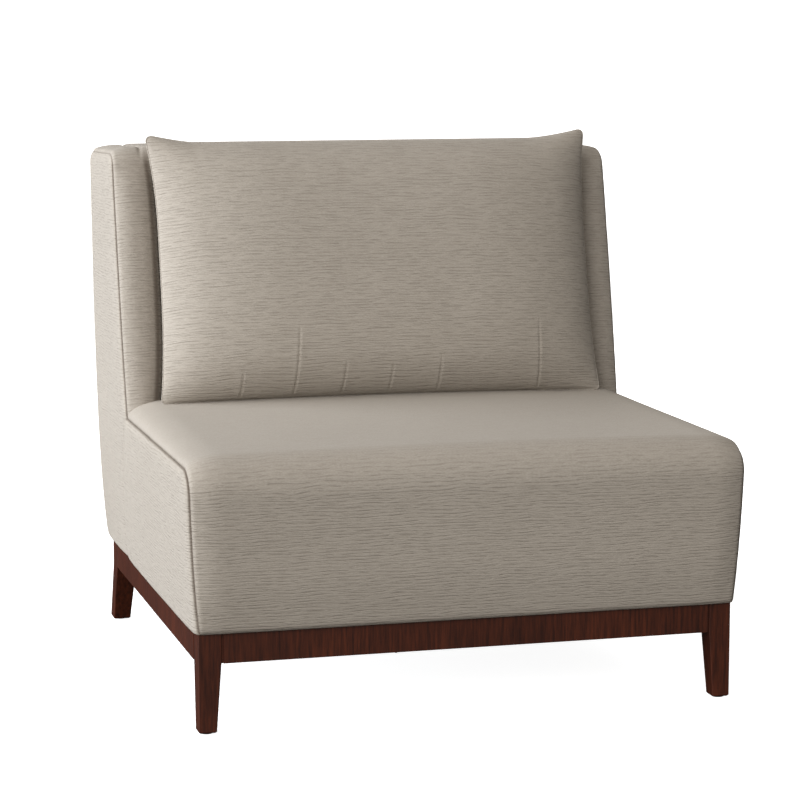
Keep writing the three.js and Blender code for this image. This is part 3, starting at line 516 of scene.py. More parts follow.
def side_panel(name, edges, sign, seed, rows, columns, swell, reach):
    """A panel in the side of the chair, bounded by its four seams, with its edges rolled in."""
    bottom, top, left, right = (resample(e, n) for e, n in zip(edges, (columns, columns, rows, rows)))
    at_u = np.interp(spread(columns), np.linspace(0, 1, columns), np.arange(columns))
    at_v = np.interp(spread(rows), np.linspace(0, 1, rows), np.arange(rows))
    bottom, top = points_at(bottom, at_u), points_at(top, at_u)
    left, right = points_at(left, at_v), points_at(right, at_v)
    u = (at_u / (columns - 1))[None, :, None]
    v = (at_v / (rows - 1))[:, None, None]
    ruled = (1 - v) * bottom[None] + v * top[None] + (1 - u) * left[:, None] + u * right[:, None]
    corners = (1 - u) * (1 - v) * bottom[0] + u * (1 - v) * bottom[-1]
    corners = corners + (1 - u) * v * top[0] + u * v * top[-1]
    flat = (ruled - corners).reshape(-1, 2)
    rim = np.concatenate([bottom, right, top[::-1], left[::-1]])
    distance, along, low = seam_distances(rim, len(bottom), flat)
    y, z = flat[:, 0], flat[:, 1]
    depth = seam_depth(sign)
    stand = -0.57 * depth * np.exp(-distance / (22 * MM)) - 1.6 * MM * np.clip(1 - low / (6 * MM), 0, 1) ** 2
    stand -= 0.43 * depth * np.clip(1 - distance / (9 * MM), 0, 1) ** 2
    stand += swell * roll_over(distance, reach)
    stand += pucker(along, distance, seed, 0.35 * MM)
    stand += 0.7 * MM * uneven(y, z, 0.14, seed + 5, seed) * np.clip(distance / 0.05, 0, 1)
    stand += 1.2 * MM * np.clip(distance / 0.08, 0, 1)
    x = side_x(z) + stand
    grids = (sign * x, y, z), (sign * (x - PANEL_SKIN), y, z), (y, z, np.full(len(y), 3.0 + seed))
    outer, inner, cloth = (np.column_stack(grid).reshape(rows, columns, 3) for grid in grids)
    # Painted shade along the seams and a painted shadow along the hem, fainter at the top of the back
    faint = 1.3 * MM * smooth_step((z - BACK_SEAM + 26 * MM) / (18 * MM))
    shade = (np.minimum(distance, low + 1 * MM) + faint).reshape(rows, columns)
    return shell(name, outer, inner, cloth, shade)


def inset_line(path):
    """A side path drawn in to where the side panels meet the cover."""
    return np.column_stack([path[:, 0] - path[:, 2] * SEAM_INSET, path[:, 1] - path[:, 3] * SEAM_INSET])


def side_seam(shift):
    """The curved seam between the panels of seat and back, from the hem up to the seat's rear."""
    top = SEAT_SEAM_REAR - COVER - 0.3 * MM
    start = np.array([FRONT + 619 * MM + shift, HEM])
    end = np.array([face_y(top) + COVER + 0.3 * MM + shift, top])
    control = (start + end) / 2 + np.array([26 * MM, 0])
    t = np.linspace(0, 1, 60)[:, None]
    return (1 - t) ** 2 * start + 2 * t * (1 - t) * control + t ** 2 * end


def split_at_corner(line, corner):
    """A line in two parts that meet at its point nearest to a corner."""
    k = int(np.argmin(np.linalg.norm(line - np.array(corner), axis=1)))
    return line[:k + 1], line[k:]


# Seams round each side panel: sole, top, front and rear
seat_front, seat_over = split_at_corner(inset_line(seat_path), (FRONT_LOW - FRONT_OUT, SEAT_SEAM))
seam_line = side_seam(0)
seat_over = seat_over[seat_over[:, 0] < seam_line[-1, 0] - 1 * MM]
seat_over = np.concatenate([seat_over, [[seam_line[-1, 0], SEAT_SEAM_REAR - SEAM_INSET]]])
seat_rear = np.concatenate([seam_line[:-1], [seat_over[-1]]])
seat_edges = (np.array([seat_front[0], seam_line[0]]), seat_over, seat_front, seat_rear)

back_seam = side_seam(0.3 * MM)
face_rim = inset_line(inside_path[inside_path[:, 1] > SEAT_SEAM_REAR - 2 * MM])
face_front, face_top = split_at_corner(face_rim, (face_y(BACK_SEAM), BACK_SEAM))
face_top, face_rear = split_at_corner(face_top, (rear_y(BACK_SEAM), BACK_SEAM))
back_front = np.concatenate([back_seam[:-1], face_front[face_front[:, 1] > back_seam[-1, 1] + 1 * MM]])
back_rear = np.concatenate([face_rear, inset_line(outside_path)[1:]])[::-1]
heel_front, heel_rear = split_at_corner(back_rear, (BACK_LOW, HEM))
back_edges = (np.concatenate([[back_seam[0]], heel_front]), face_top, back_front, heel_rear)

# Loose cushion: its height, its seam's distance from the back, the crown of its face, its gap to the seat
CUSHION_HEIGHT = 446 * MM
STAND_OFF = 52 * MM
CROWN = 80 * MM
GAP = 0.6 * MM

# Its ears' flare and rise, and its tucks: places across, lengths, depth and width of the fold, pull beside it
EAR_LEFT = 6 * MM
EAR_RIGHT = 3.5 * MM
EAR_RISE_LEFT = 14 * MM
EAR_RISE_RIGHT = 17 * MM
TUCKS = (-0.665, -0.425, -0.21, 0.0, 0.22, 0.695)
TUCK_LENGTHS = (0.1, 0.26, 0.12, 0.11, 0.13, 0.275)
TUCK_FOLD = 2.3 * MM
TUCK_PULL = 1.3 * MM
TUCK_REACH = 10 * MM

# Its mesh: columns, rows, added columns beside a tuck, the least distance between columns, steps of its seam
CUSHION_COLUMNS = 151
CUSHION_ROWS = 121
SEAM_STEPS = 700
TUCK_COLUMNS = np.array([0, 0.9, 1.8, 2.8, 4, 5.5, 7.5, 10]) * MM / CUSHION_HALF
LEAST_COLUMN = 0.35 * MM / CUSHION_HALF
REST_Y = face_y(FACE_LEVEL) - STAND_OFF / COS
REST_Z = float(seat_top_z(CUSHION_HALF, REST_Y)) + GAP
CUSHION_PLACE = Matrix.Translation((0, REST_Y, REST_Z)) @ Matrix.Rotation(-LEAN, 4, "X")

# Corners of the cushion: side, top or foot, radius, and how far the ear flares there
CUSHION_CORNERS = (
    (-1, True, 16 * MM, EAR_LEFT), (1, True, 15 * MM, EAR_RIGHT),
    (-1, False, 9 * MM, 0), (1, False, 9 * MM, 0),
)


def cushion_outline(a, b):
    """Place across and up of a point of the cushion, with its corners rounded and its ears drawn up."""
    level = 2 * b - 1
    x = a * (CUSHION_HALF - CUSHION_BOW * (1 - np.abs(level) ** 3))
    x = x + np.where(a < 0, -EAR_LEFT, EAR_RIGHT) * np.abs(a) ** 3 * np.clip((b - 0.68) / 0.32, 0, 1) ** 1.7
    low = (seat_top_z(x, REST_Y) + GAP - REST_Z) / COS
    ear_right = EAR_RISE_RIGHT * np.clip((a - 0.72) / 0.28, 0, 1) ** 1.6
    ear_left = EAR_RISE_LEFT * np.clip((-a - 0.8) / 0.2, 0, 1) ** 1.3
    high = CUSHION_HEIGHT + 3 * MM * a + ear_right + ear_left
    up = low + (high - low) * b
    for side, at_top, radius, flare in CUSHION_CORNERS:
        upward = 1 if at_top else -1
        p = (side * x - (CUSHION_HALF + flare - radius)) / radius
        q = ((up - (high if at_top else low)) * upward + radius) / radius
        inside = (p > 0) & (q > 0)
        rounded_p = p * np.sqrt(np.clip(1 - q * q / 2, 0, 1))
        rounded_q = q * np.sqrt(np.clip(1 - p * p / 2, 0, 1))
        x = np.where(inside, x + side * (rounded_p - p) * radius, x)
        up = np.where(inside, up + upward * (rounded_q - q) * radius, up)
    return x, up


def cushion_fill(a, b, reach, edge_share):
    """Fullness of a face, 0 at the seams and 1 in the middle."""
    level = 2 * b - 1
    share = edge_share / 2
    across = share * roll_over((1 - np.abs(a)) * CUSHION_HALF, reach) + (1 - share) * (1 - np.abs(a) ** 4.5)
    upward = edge_share * roll_over((1 - np.abs(level)) * CUSHION_HEIGHT / 2, reach)
    upward = upward + (1 - edge_share) * (1 - np.abs(level) ** 3)
    return across * upward


def cushion_grid(a, b, side):
    """Points of one face of the cushion in its own frame: across, into the back, up."""
    x, up = cushion_outline(a, b)
    if side > 0:
        room = STAND_OFF - FACE_CROWN - 0.8 * MM
        near = 1 - np.clip((1 - np.abs(a)) * CUSHION_HALF / (21 * MM), 0, 1)
        fill = (1 - near ** 1.5) * cushion_fill(a * 0, b, 55 * MM, 0.75)
        return np.stack([x, room * np.clip(fill * 1.15, 0, 1), up], 2)
    fill = cushion_fill(a, b, 70 * MM, 0.5)
    depth = -CROWN * fill
    for place, length in zip(TUCKS, TUCK_LENGTHS):
        centre = place + 0.004 * np.sin(9 * b + place * 5)
        across = (a - centre) * CUSHION_HALF
        fade = np.clip(1 - b / length, 0, 1) ** 0.5 * np.clip(b / 0.015, 0, 1)
        fold = TUCK_FOLD * np.exp(-((across / TUCK_FOLD) ** 2))
        beside = TUCK_PULL * np.exp(-((across / TUCK_REACH) ** 2))
        depth = depth + fade * (fold - beside)
    depth = depth + 1.4 * MM * uneven(x, up, 0.11, 21) * np.clip(fill * 3, 0, 1)
    return np.stack([x, np.minimum(depth, 0), up], 2)


def tube(name, line, half_width, half_height, sides, normal):
    """A closed ring of oval section along a line in a plane with the given normal."""
    along = np.roll(line, -1, axis=0) - np.roll(line, 1, axis=0)
    along /= np.linalg.norm(along, axis=1, keepdims=True)
    out = np.cross(along, normal)
    angle = np.linspace(0, 2 * math.pi, sides, endpoint=False)
    ring = out[:, None] * (half_width * np.cos(angle))[None, :, None]
    ring = ring + np.asarray(normal)[None, None] * (half_height * np.sin(angle))[None, :, None]
    points = line[:, None] + ring
    run = np.concatenate([[0], np.cumsum(np.linalg.norm(np.diff(line, axis=0), axis=1))])
    i, j = np.meshgrid(np.arange(len(line)), np.arange(sides), indexing="ij")
    a, b = i * sides + j, i * sides + (j + 1) % sides
    c, d = ((i + 1) % len(line)) * sides + (j + 1) % sides, ((i + 1) % len(line)) * sides + j
    faces = np.stack([a, b, c, d], 2).reshape(-1, 4)
    turn = np.repeat(angle[None] * 1.5 * MM, len(line), 0)
    cloth = np.stack([turn, np.repeat(run[:, None], sides, 1), a * 0 + 7.0], 2)
    return face_out(make_object(name, points.reshape(-1, 3), faces, cloth.reshape(-1, 3), np.zeros(a.size)))


def make_cushion():
    """The cushion and the sewn edge round it, both in place."""
    t = np.linspace(-1, 1, CUSHION_COLUMNS)
    a = list(np.sign(t) * (1 - (1 - np.abs(t)) ** 1.45))
    for place in TUCKS:
        a += list(place + TUCK_COLUMNS) + list(place - TUCK_COLUMNS)
    a = np.array(sorted(a))
    a = a[np.concatenate([[True], np.diff(a) > LEAST_COLUMN])]
    a[-1] = 1.0
    r = np.linspace(-1, 1, CUSHION_ROWS)
    b = (np.sign(r) * (1 - (1 - np.abs(r)) ** 1.5) + 1) / 2
    aa, bb = np.meshgrid(a, b)
    front = cushion_grid(aa, bb, -1)
    rear = cushion_grid(aa, bb, 1)
    for grid in (front, rear):
        grid[0, :, 1] = grid[-1, :, 1] = 0
        grid[:, 0, 1] = grid[:, -1, 1] = 0
    cloth = np.stack([front[..., 0], front[..., 2], np.full(aa.shape, 9.0)], 2)
    obj = closed_pair("cushion", front, rear, cloth, np.full(aa.shape, 1.0))
    obj.data.transform(CUSHION_PLACE)
    rim = rim_of(front)
    rim = resample(np.concatenate([rim, rim[:1]]), SEAM_STEPS)[:-1]
    seam = tube("cushion_seam", rim, 1.4 * MM, 1.3 * MM, 8, (0, 1, 0))
    seam.data.transform(CUSHION_PLACE)
    return obj, seam


# Materials
class Nodes:
    """Short calls for a material's node tree."""

    def __init__(self, name, **sockets):
        self.material = bpy.data.materials.new(name)
        self.material.use_nodes = True
        self.tree = self.material.node_tree
        self.shader = next(n for n in self.tree.nodes if n.type == "BSDF_PRINCIPLED")
        for socket, value in sockets.items():
            self.shader.inputs[socket.replace("_", " ")].default_value = value

    def add(self, kind, inputs=(), **props):
        node = self.tree.nodes.new("ShaderNode" + kind)
        for key, value in props.items():
            setattr(node, key, value)
        for key, value in dict(inputs).items():
            self.put(node.inputs[key], value)
        return node.outputs[0]

    def put(self, socket, value):
        if isinstance(value, bpy.types.NodeSocket):
            self.tree.links.new(value, socket)
        else:
            socket.default_value = value

    def attribute(self, name):
        """The outputs of a value stored at the mesh's points."""
        node = self.tree.nodes.new("ShaderNodeAttribute")
        node.attribute_name = name
        return node.outputs

    def math(self, operation, a, b=0.0, c=0.0):
        return self.add("Math", {0: a, 1: b, 2: c}, operation=operation)

    def noise(self, vector, scale, detail=2.0, rough=0.5):
        return self.add("TexNoise", {"Vector": vector, "Scale": scale, "Detail": detail, "Roughness": rough})

    def scaled(self, vector, x, y, z):
        return self.add("VectorMath", {0: vector, 1: (x, y, z)}, operation="MULTIPLY")

    def ramp(self, value, low, high, to_low=0.0, to_high=1.0):
        keys = {"Value": value, "From Min": low, "From Max": high, "To Min": to_low, "To Max": to_high}
        return self.add("MapRange", keys, clamp=True)

    def mix(self, factor, a, b):
        node = self.tree.nodes.new("ShaderNodeMix")
        node.data_type = "RGBA"
        self.put(node.inputs["Factor"], factor)
        self.put(node.inputs[6], a)
        self.put(node.inputs[7], b)
        return node.outputs[2]

    def bump(self, height, strength, distance):
        normal = self.add("Bump", {"Height": height, "Strength": strength, "Distance": distance})
        self.put(self.shader.inputs["Normal"], normal)

    def base(self, colour):
        self.put(self.shader.inputs["Base Color"], colour)


# Rows of creases in the weave: rows a metre, how far they wander, dashes a metre, their limits, their share
WEAVE_ROWS = ((200, 1.7, 54, 0.36, 0.6, 1.0), (310, 2.4, 85, 0.38, 0.62, 0.6))


def slub_fabric(name, light, dark, seed):
    """Crepe-like weave: thin wavy creases run across it in rows, broken into dashes, over a fine thread."""
    n = Nodes(name, Roughness=0.88, Sheen_Weight=0.12, Sheen_Roughness=0.5, Specular_IOR_Level=0.2)
    n.put(n.shader.inputs["Sheen Tint"], (1.0, 0.93, 0.84, 1))
    cloth = n.attribute("cloth")["Vector"]
    u, v, w = n.add("SeparateXYZ", {0: cloth}).node.outputs
    warp = n.noise(n.scaled(cloth, 15, 42, 1), 1.0, 1.0)
    creases = None
    for rows, wander, length, low, high, share in WEAVE_ROWS:
        row = n.math("MULTIPLY_ADD", v, rows, n.math("MULTIPLY", warp, wander))
        middle = n.math("ABSOLUTE", n.math("MULTIPLY_ADD", n.math("FRACT", row), 2.0, -1.0))
        key = n.add("CombineXYZ", {
            "X": n.math("MULTIPLY", u, length), "Y": n.math("MULTIPLY", n.math("FLOOR", row), 7.31),
            "Z": n.math("MULTIPLY_ADD", w, 3.7, seed + rows),
        })
        dash = n.ramp(n.noise(key, 1.0, 1.0), low, high)
        crease = n.math("MULTIPLY", n.math("MULTIPLY", n.ramp(middle, 0.5, 0.0), dash), share)
        creases = crease if creases is None else n.math("MAXIMUM", creases, crease)
    slub = n.noise(n.scaled(cloth, 30, 330, 3), 1.0, 1.5)
    raised = n.math("SUBTRACT", n.math("MULTIPLY", n.ramp(slub, 0.3, 0.7), 0.35), creases)
    calm = n.attribute("calm")["Fac"]
    raised = n.math("MULTIPLY", raised, n.math("SUBTRACT", 1.0, calm))
    fine = n.noise(n.scaled(cloth, 260, 900, 1), 1.0, 2.0, 0.6)
    broad = n.noise(n.scaled(cloth, 3.2, 3.2, 1), 1.0, 2.0)
    shade = n.math("MULTIPLY_ADD", raised, -0.3, 0.15)
    shade = n.math("ADD", shade, n.math("MULTIPLY", n.ramp(fine, 0.3, 0.7), 0.25))
    shade = n.math("ADD", shade, n.ramp(broad, 0.3, 0.7, 0.02, 0.08))
    plain = n.mix(n.ramp(shade, 0.0, 1.0), light, dark)
    # Painted shade: the seam attribute darkens the cloth along seams, at the hem and beside the cushion
    line = n.attribute("seam")["Fac"]
    shadow = (dark[0] * 0.4, dark[1] * 0.33, dark[2] * 0.27, 1)
    n.base(n.mix(n.math("MULTIPLY", line, 0.8), plain, shadow))
    n.bump(n.math("MULTIPLY_ADD", fine, 0.25, raised), 0.6, 0.0011)
    n.put(n.shader.inputs["Roughness"], n.ramp(fine, 0.3, 0.7, 0.82, 0.94))
    return n.material


def wood(name, light, dark, rough, across, along, axis, seed):
    """Straight-grained timber: fine pores and darker growth streaks along one axis."""
    n = Nodes(name, Roughness=rough, Coat_Weight=0.06, Coat_Roughness=0.35, Specular_IOR_Level=0.22)
    place = n.add("TexCoord").node.outputs["Object"]
    moved = n.add("VectorMath", {0: place, 1: (seed, seed * 0.7, seed * 1.3)}, operation="ADD")
    scale = [across] * 3
    scale["xyz".index(axis)] = along
    streak = n.noise(n.scaled(moved, *scale), 1.0, 4.0, 0.6)
    pore = n.noise(n.scaled(moved, *[s * 5 for s in scale]), 1.0, 2.0, 0.6)
    cloud = n.noise(moved, 7.0, 2.0)
    mixed = n.math("ADD", n.math("MULTIPLY", streak, 0.75), n.math("MULTIPLY", pore, 0.25))
    colour = n.mix(n.ramp(mixed, 0.36, 0.64), light, dark)
    colour = n.mix(n.ramp(cloud, 0.35, 0.7, 0.0, 0.35), colour, (*[c * 0.6 for c in dark[:3]], 1))
    n.base(colour)
    n.put(n.shader.inputs["Roughness"], n.ramp(pore, 0.3, 0.7, rough - 0.06, rough + 0.1))
    n.bump(n.math("ADD", pore, n.math("MULTIPLY", streak, 0.4)), 0.25, 0.0004)
    return n.material


def grained(name, light, dark, rough, scale, metal=0.0, strength=0.3):
    """A plain material broken up by noise: foam, felt, steel and moulded plastic."""
    n = Nodes(name, Roughness=rough, Metallic=metal)
    place = n.add("TexCoord").node.outputs["Object"]
    cells = n.noise(place, scale, 3.0, 0.65)
    cloud = n.noise(place, scale / 22, 2.0)
    n.base(n.mix(n.ramp(n.math("MULTIPLY", n.math("ADD", cells, cloud), 0.5), 0.35, 0.65), light, dark))
    n.put(n.shader.inputs["Roughness"], n.ramp(cells, 0.3, 0.7, rough - 0.05, min(1.0, rough + 0.08)))
    n.bump(cells, strength, 0.0004)
    return n.material


def srgb(*steps):
    """A colour given in 0..255 steps, as the linear colour that shaders take."""
    shares = [step / 255 for step in steps]
    return (*[c / 12.92 if c <= 0.04045 else ((c + 0.055) / 1.055) ** 2.4 for c in shares], 1)


GREIGE = (srgb(173, 166, 156), srgb(119, 110, 100))
DARK_STAIN = (srgb(84, 39, 22), srgb(44, 18, 10))
cover_fabric = slub_fabric("cover_fabric", *GREIGE, 0.0)
cushion_fabric = slub_fabric("cushion_fabric", *GREIGE, 4.0)
show_wood_rail = wood("show_wood_rail", *DARK_STAIN, 0.42, 220, 14, "z", 0.0)
show_wood_leg = wood("show_wood_leg", *DARK_STAIN, 0.42, 220, 14, "z", 3.0)
frame_wood = wood("frame_wood", srgb(208, 172, 124), srgb(170, 130, 88), 0.7, 160, 9, "x", 1.0)
foam = grained("foam", srgb(236, 226, 198), srgb(214, 200, 164), 0.95, 420)
felt = grained("felt", srgb(126, 122, 118), srgb(84, 80, 77), 0.95, 900)
webbing = grained("webbing", srgb(62, 59, 56), srgb(34, 32, 31), 0.85, 1200)
dust_fabric = grained("dust_fabric", srgb(46, 44, 43), srgb(26, 25, 24), 0.95, 1500)
spring_steel = grained("spring_steel", srgb(150, 152, 155), srgb(112, 114, 118), 0.35, 260, 1.0, 0.1)
zinc_steel = grained("zinc_steel", srgb(186, 188, 192), srgb(150, 153, 158), 0.3, 320, 1.0, 0.1)
glide_plastic = grained("glide_plastic", srgb(52, 47, 44), srgb(34, 30, 28), 0.55, 500)

FINISHES = {
    "leg": show_wood_leg, "corner_block": frame_wood, "corner_bolt": zinc_steel, "glide": glide_plastic,
    "rail": show_wood_rail, "dust_cover": dust_fabric, "seat_board": frame_wood, "spring_rail": frame_wood,
    "seat_spring": spring_steel, "spring_clip": zinc_steel, "deck_pad": felt, "seat_foam": foam,
    "back_board": frame_wood, "lumbar_rail": frame_wood, "back_webbing": webbing, "back_foam": foam,
    "seat_top_cover": cover_fabric, "seat_side_panel": cover_fabric, "inside_back_cover": cover_fabric,
    "back_side_panel": cover_fabric, "outside_back_cover": cover_fabric, "back_cushion": cushion_fabric,
}
for name, obj in nodes.items():
    key = max((k for k in FINISHES if name.startswith(k)), key=len)
    obj.data.materials.clear()
    obj.data.materials.append(FINISHES[key])


def dress(obj, material, slot, body, *replaced):
    """Gives a piece its material and its place in the frame."""
    obj.data.materials.append(material)
    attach(obj, body)
    if replaced:
        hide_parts(*replaced)
    return obj


# Sewn covers, side panels and cushion
seat_top = cover("seat_top", seat_path, seat_crown, SEAT_REACH, 11, rolled_hem=True, calm=0.5)
# The inside back carries painted shade along the cushion's edge, where the cushion shades it
inside_back = cover(
    "inside_back", inside_path, back_crown, 100 * MM, 31,
    top_pleats, edge_steps=84, faint=1.3 * MM, painted_shade=cushion_painted_shade,
)
outside_back = cover("outside_back", outside_path, rear_crown, BACK_REACH, 51)
for piece in (seat_top, inside_back, outside_back):
    dress(piece, cover_fabric, "cover_fabric", "chair", f"{piece.name}_cover")
for side, sign in (("left", -1), ("right", 1)):
    for part, edges, seed, rows, columns, swell in (
        ("seat", seat_edges, 61, 60, 110, 4.8 * MM),
        ("back", back_edges, 71, 130, 50, 3 * MM),
    ):
        panel = side_panel(f"{part}_side_{side}", edges, sign, seed + sign, rows, columns, swell, 16 * MM)
        dress(panel, cover_fabric, "cover_fabric", "chair", f"{part}_side_panel_{side}")

cushion, cushion_seam = make_cushion()
dress(cushion, cushion_fabric, "cushion_fabric", "cushion", "back_cushion")
dress(cushion_seam, cushion_fabric, "cushion_fabric", "cushion")

# Soft pieces inside
LAYER_GAP = 1.0 * MM
FOAM_COLUMNS = 91
FOAM_STEP = 14 * MM


def joined_loops(name, loops):
    """A closed body through rows of points that each run round it, with its two ends filled."""
    rows, columns = loops.shape[:2]
    i, j = np.meshgrid(np.arange(rows - 1), np.arange(columns), indexing="ij")
    a, b = i * columns + j, i * columns + (j + 1) % columns
    faces = np.stack([a, b, b + columns, a + columns], 2).reshape(-1, 4).tolist()
    faces += [list(range(columns)), list(range((rows - 1) * columns, rows * columns))[::-1]]
    points = loops.reshape(-1, 3)
    return face_out(make_object(name, points, faces, points, np.zeros(len(points))))


def sawn(start, end):
    """Even points from one place to another, without the last."""
    start, end = np.array(start), np.array(end)
    count = max(2, int(np.linalg.norm(end - start) / FOAM_STEP))
    return [start + (end - start) * k / count for k in range(count)]


def foam_body(name, path, crown, floor, half, seed, cut=None):
    """Foam that fills a cover: its face lies under the cover's skin, its other sides on the frame."""
    x = half * np.sin(np.linspace(-math.pi / 2, math.pi / 2, FOAM_COLUMNS))
    y, z, out_y, out_z = (np.repeat(path[None, :, k], len(x), 0) for k in range(4))
    across = np.repeat(x[:, None], y.shape[1], 1)
    stand = crown(across, y, z, out_y, out_z) - COVER - LAYER_GAP
    top_y, top_z = y + out_y * stand, z + out_z * stand
    if cut is not None:
        top_y = np.minimum(top_y, cut(across, top_z))
    base = np.array([p for a, b in zip(floor[:-1], floor[1:]) for p in sawn(a, b)] + [floor[-1]])
    loops = np.array([
        np.column_stack([np.full(y.shape[1] + len(base), place), np.concatenate([line, base])])
        for place, line in zip(x, np.stack([top_y, top_z], 2))
    ])
    inward = 1.2 * MM * np.exp(-(half - np.abs(loops[..., 0])) / (4 * MM))
    rough = 0.5 * MM * smooth_noise(loops.reshape(-1, 3), 1 / 0.05, seed).reshape(loops.shape[:2])
    loops[:, 1:len(path) - 1, 2] -= (inward + np.abs(rough))[:, 1:len(path) - 1]
    return joined_loops(name, loops)


def soft_slab(name, low, high, top, thick, seed, wave):
    """A felt or cloth layer between two side places, with rounded edges and a slightly uneven top."""
    xx, yy = np.meshgrid(np.linspace(low.x, high.x, 97), np.linspace(low.y, high.y, 71))
    edge = np.minimum(np.minimum(xx - low.x, high.x - xx), np.minimum(yy - low.y, high.y - yy))
    dips = np.abs(wave * uneven(xx, yy, 0.06, seed))
    over = top(xx, yy) - dips - 0.35 * thick * np.clip(1 - edge / thick, 0, 1) ** 2
    under = top(xx, yy) - thick
    cloth = np.stack([xx, yy, np.full(xx.shape, 5.0 + seed)], 2)
    return shell(name, np.stack([xx, yy, over], 2), np.stack([xx, yy, under], 2), cloth, np.ones(xx.shape))


# Felt on the springs, and the cloth under the seat
DECK_THICKNESS = 6 * MM
DECK_INSET = 11 * MM
DUST_SAG = 7 * MM
deck_low, deck_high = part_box("deck_pad")
dust_low, dust_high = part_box("dust_cover")
spring_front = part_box("seat_board_front")[1].y - DECK_INSET
spring_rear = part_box("spring_rail")[0].y + DECK_INSET


def deck_top(x, y):
    """Top of the felt, which lies on the arch of the springs."""
    span = spring_rear - spring_front
    rise = 1 - (2 * np.clip((y - spring_front) / span, 0, 1) - 1) ** 2
    rim = 1 - (2 * (deck_low.y - spring_front) / span - 1) ** 2
    low = deck_low.z + DECK_THICKNESS
    return low + (deck_high.z - low) * (rise - rim) / (1 - rim)


def dust_top(x, y):
    """The cloth is stapled round its rim and hangs a little in the middle."""
    across = (x - dust_low.x) / (dust_high.x - dust_low.x)
    along = (y - dust_low.y) / (dust_high.y - dust_low.y)
    return dust_high.z - DUST_SAG * np.sin(math.pi * across) ** 2 * np.sin(math.pi * along) ** 2


deck = soft_slab("deck_felt", deck_low, deck_high, deck_top, DECK_THICKNESS, 81, 0.4 * MM)
dress(deck, felt, "felt", "chair", "deck_pad")
dust = soft_slab("dust_cloth", dust_low, dust_high, dust_top, 0.5 * MM, 83, 0.0)
dress(dust, dust_fabric, "dust_fabric", "chair", "dust_cover")

# Foam of the seat, on the felt and the front board
foam_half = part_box("seat_foam")[1].x - 4 * MM
board_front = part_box("seat_board_front")[0].y - 0.3 * MM
foam_heel = face_y(300 * MM) - 12 * MM


def seat_foam_rear(x, z):
    """Where the seat's foam ends in front of the inside back."""
    stand = back_crown(x, face_y(z), z, np.full_like(z, -COS), np.full_like(z, SIN))
    return face_y(z) - stand / COS - LAYER_GAP


seat_floor = [(y, deck_top(0, y) + LAYER_GAP / 2) for y in np.linspace(foam_heel, deck_low.y, 40)]
seat_floor += [(board_front, seat_floor[-1][1]), (board_front, HEM + 0.6 * MM)]
seat_face = seat_path[1:-1]
seat_foam = foam_body("seat_foam_block", seat_face, seat_crown, seat_floor, foam_half, 91, seat_foam_rear)
dress(seat_foam, foam, "foam", "chair", "seat_foam")

# Foam of the back, on its webbing
strap_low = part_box("back_webbing_2")[0]
back_board_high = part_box("back_board_top")[1]


def strap_front(z):
    """Place of the webbing's face at a height."""
    return strap_low.y + (z - strap_low.z) * TAN


def under_crease(x, y, z, out_y, out_z):
    """The back's crown at its lowest within 7 mm across, so that the foam stays under the crease."""
    shifts = np.array([-7, -5, -3, -1.5, 0, 1.5, 3, 5, 7]) * MM
    return np.minimum.reduce([back_crown(x + shift, y, z, out_y, out_z) for shift in shifts])


back_rows = (inside_path[:, 1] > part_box("back_foam")[0].z) & (inside_path[:, 0] < back_board_high.y)
back_face = inside_path[back_rows & (inside_path[:, 2] < 0.9)]
foam_top = back_board_high.z + 0.6 * MM
foam_foot = back_face[0][1]
back_floor = [
    (back_face[-1][0], foam_top),
    (strap_front(foam_top) - 0.9 * MM, foam_top),
    (strap_front(foam_foot) - 0.9 * MM, foam_foot),
]
back_foam = foam_body("back_foam_block", back_face, under_crease, back_floor, foam_half, 95)
dress(back_foam, foam, "foam", "chair", "back_foam")


def strap(name, low, high, seed):
    """Flat woven webbing, pressed back a little between its two rails."""
    xx, zz = np.meshgrid(np.linspace(low.x, high.x, 57), np.linspace(low.z, high.z, 90))
    along = (zz - low.z) / (high.z - low.z)
    bow = 3 * MM * np.sin(math.pi * np.clip((along - 0.1) / 0.85, 0, 1)) ** 2
    rib = 0.15 * MM * np.abs(np.sin((xx - low.x) / (high.x - low.x) * math.pi * 9))
    selvedge = 0.35 * MM * np.clip(1 - np.minimum(xx - low.x, high.x - xx) / (1.2 * MM), 0, 1)
    front = strap_front(zz) + bow + rib + selvedge
    rear = strap_front(zz) + bow + 1.6 * MM / COS - rib - selvedge
    cloth = np.stack([xx, zz, np.full(xx.shape, seed)], 2)
    return shell(name, np.stack([xx, front, zz], 2), np.stack([xx, rear, zz], 2), cloth, np.ones(xx.shape))


for number in (1, 2, 3):
    piece = strap(f"webbing_strap_{number}", *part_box(f"back_webbing_{number}"), 20.0 + number)
    dress(piece, webbing, "webbing", "chair", f"back_webbing_{number}")


# Floor, light and camera
def stage_piece(name, profile, glow):
    """A round sheet of pale paper: a profile of radius and height, turned round the chair."""
    count = 96
    turns = np.linspace(0, 2 * math.pi, count, endpoint=False)
    points = [(r * math.cos(t), r * math.sin(t), z) for r, z in profile for t in turns]
    faces = [
        (k * count + i, k * count + (i + 1) % count, (k + 1) * count + (i + 1) % count, (k + 1) * count + i)
        for k in range(len(profile) - 1) for i in range(count)
    ]
    paper = make_object(name, points, faces)
    paper.location.z = -0.5 * MM
    n = Nodes(name + "_paper", Roughness=0.9, Emission_Color=(1, 1, 1, 1), Emission_Strength=glow)
    place = n.add("TexCoord").node.outputs["Object"]
    n.base(n.mix(n.ramp(n.noise(place, 40.0, 2.0), 0.3, 0.7), (0.75, 0.75, 0.75, 1), (0.73, 0.73, 0.73, 1)))
    paper.data.materials.append(n.material)
    paper.visible_diffuse = paper.visible_glossy = False
    return paper


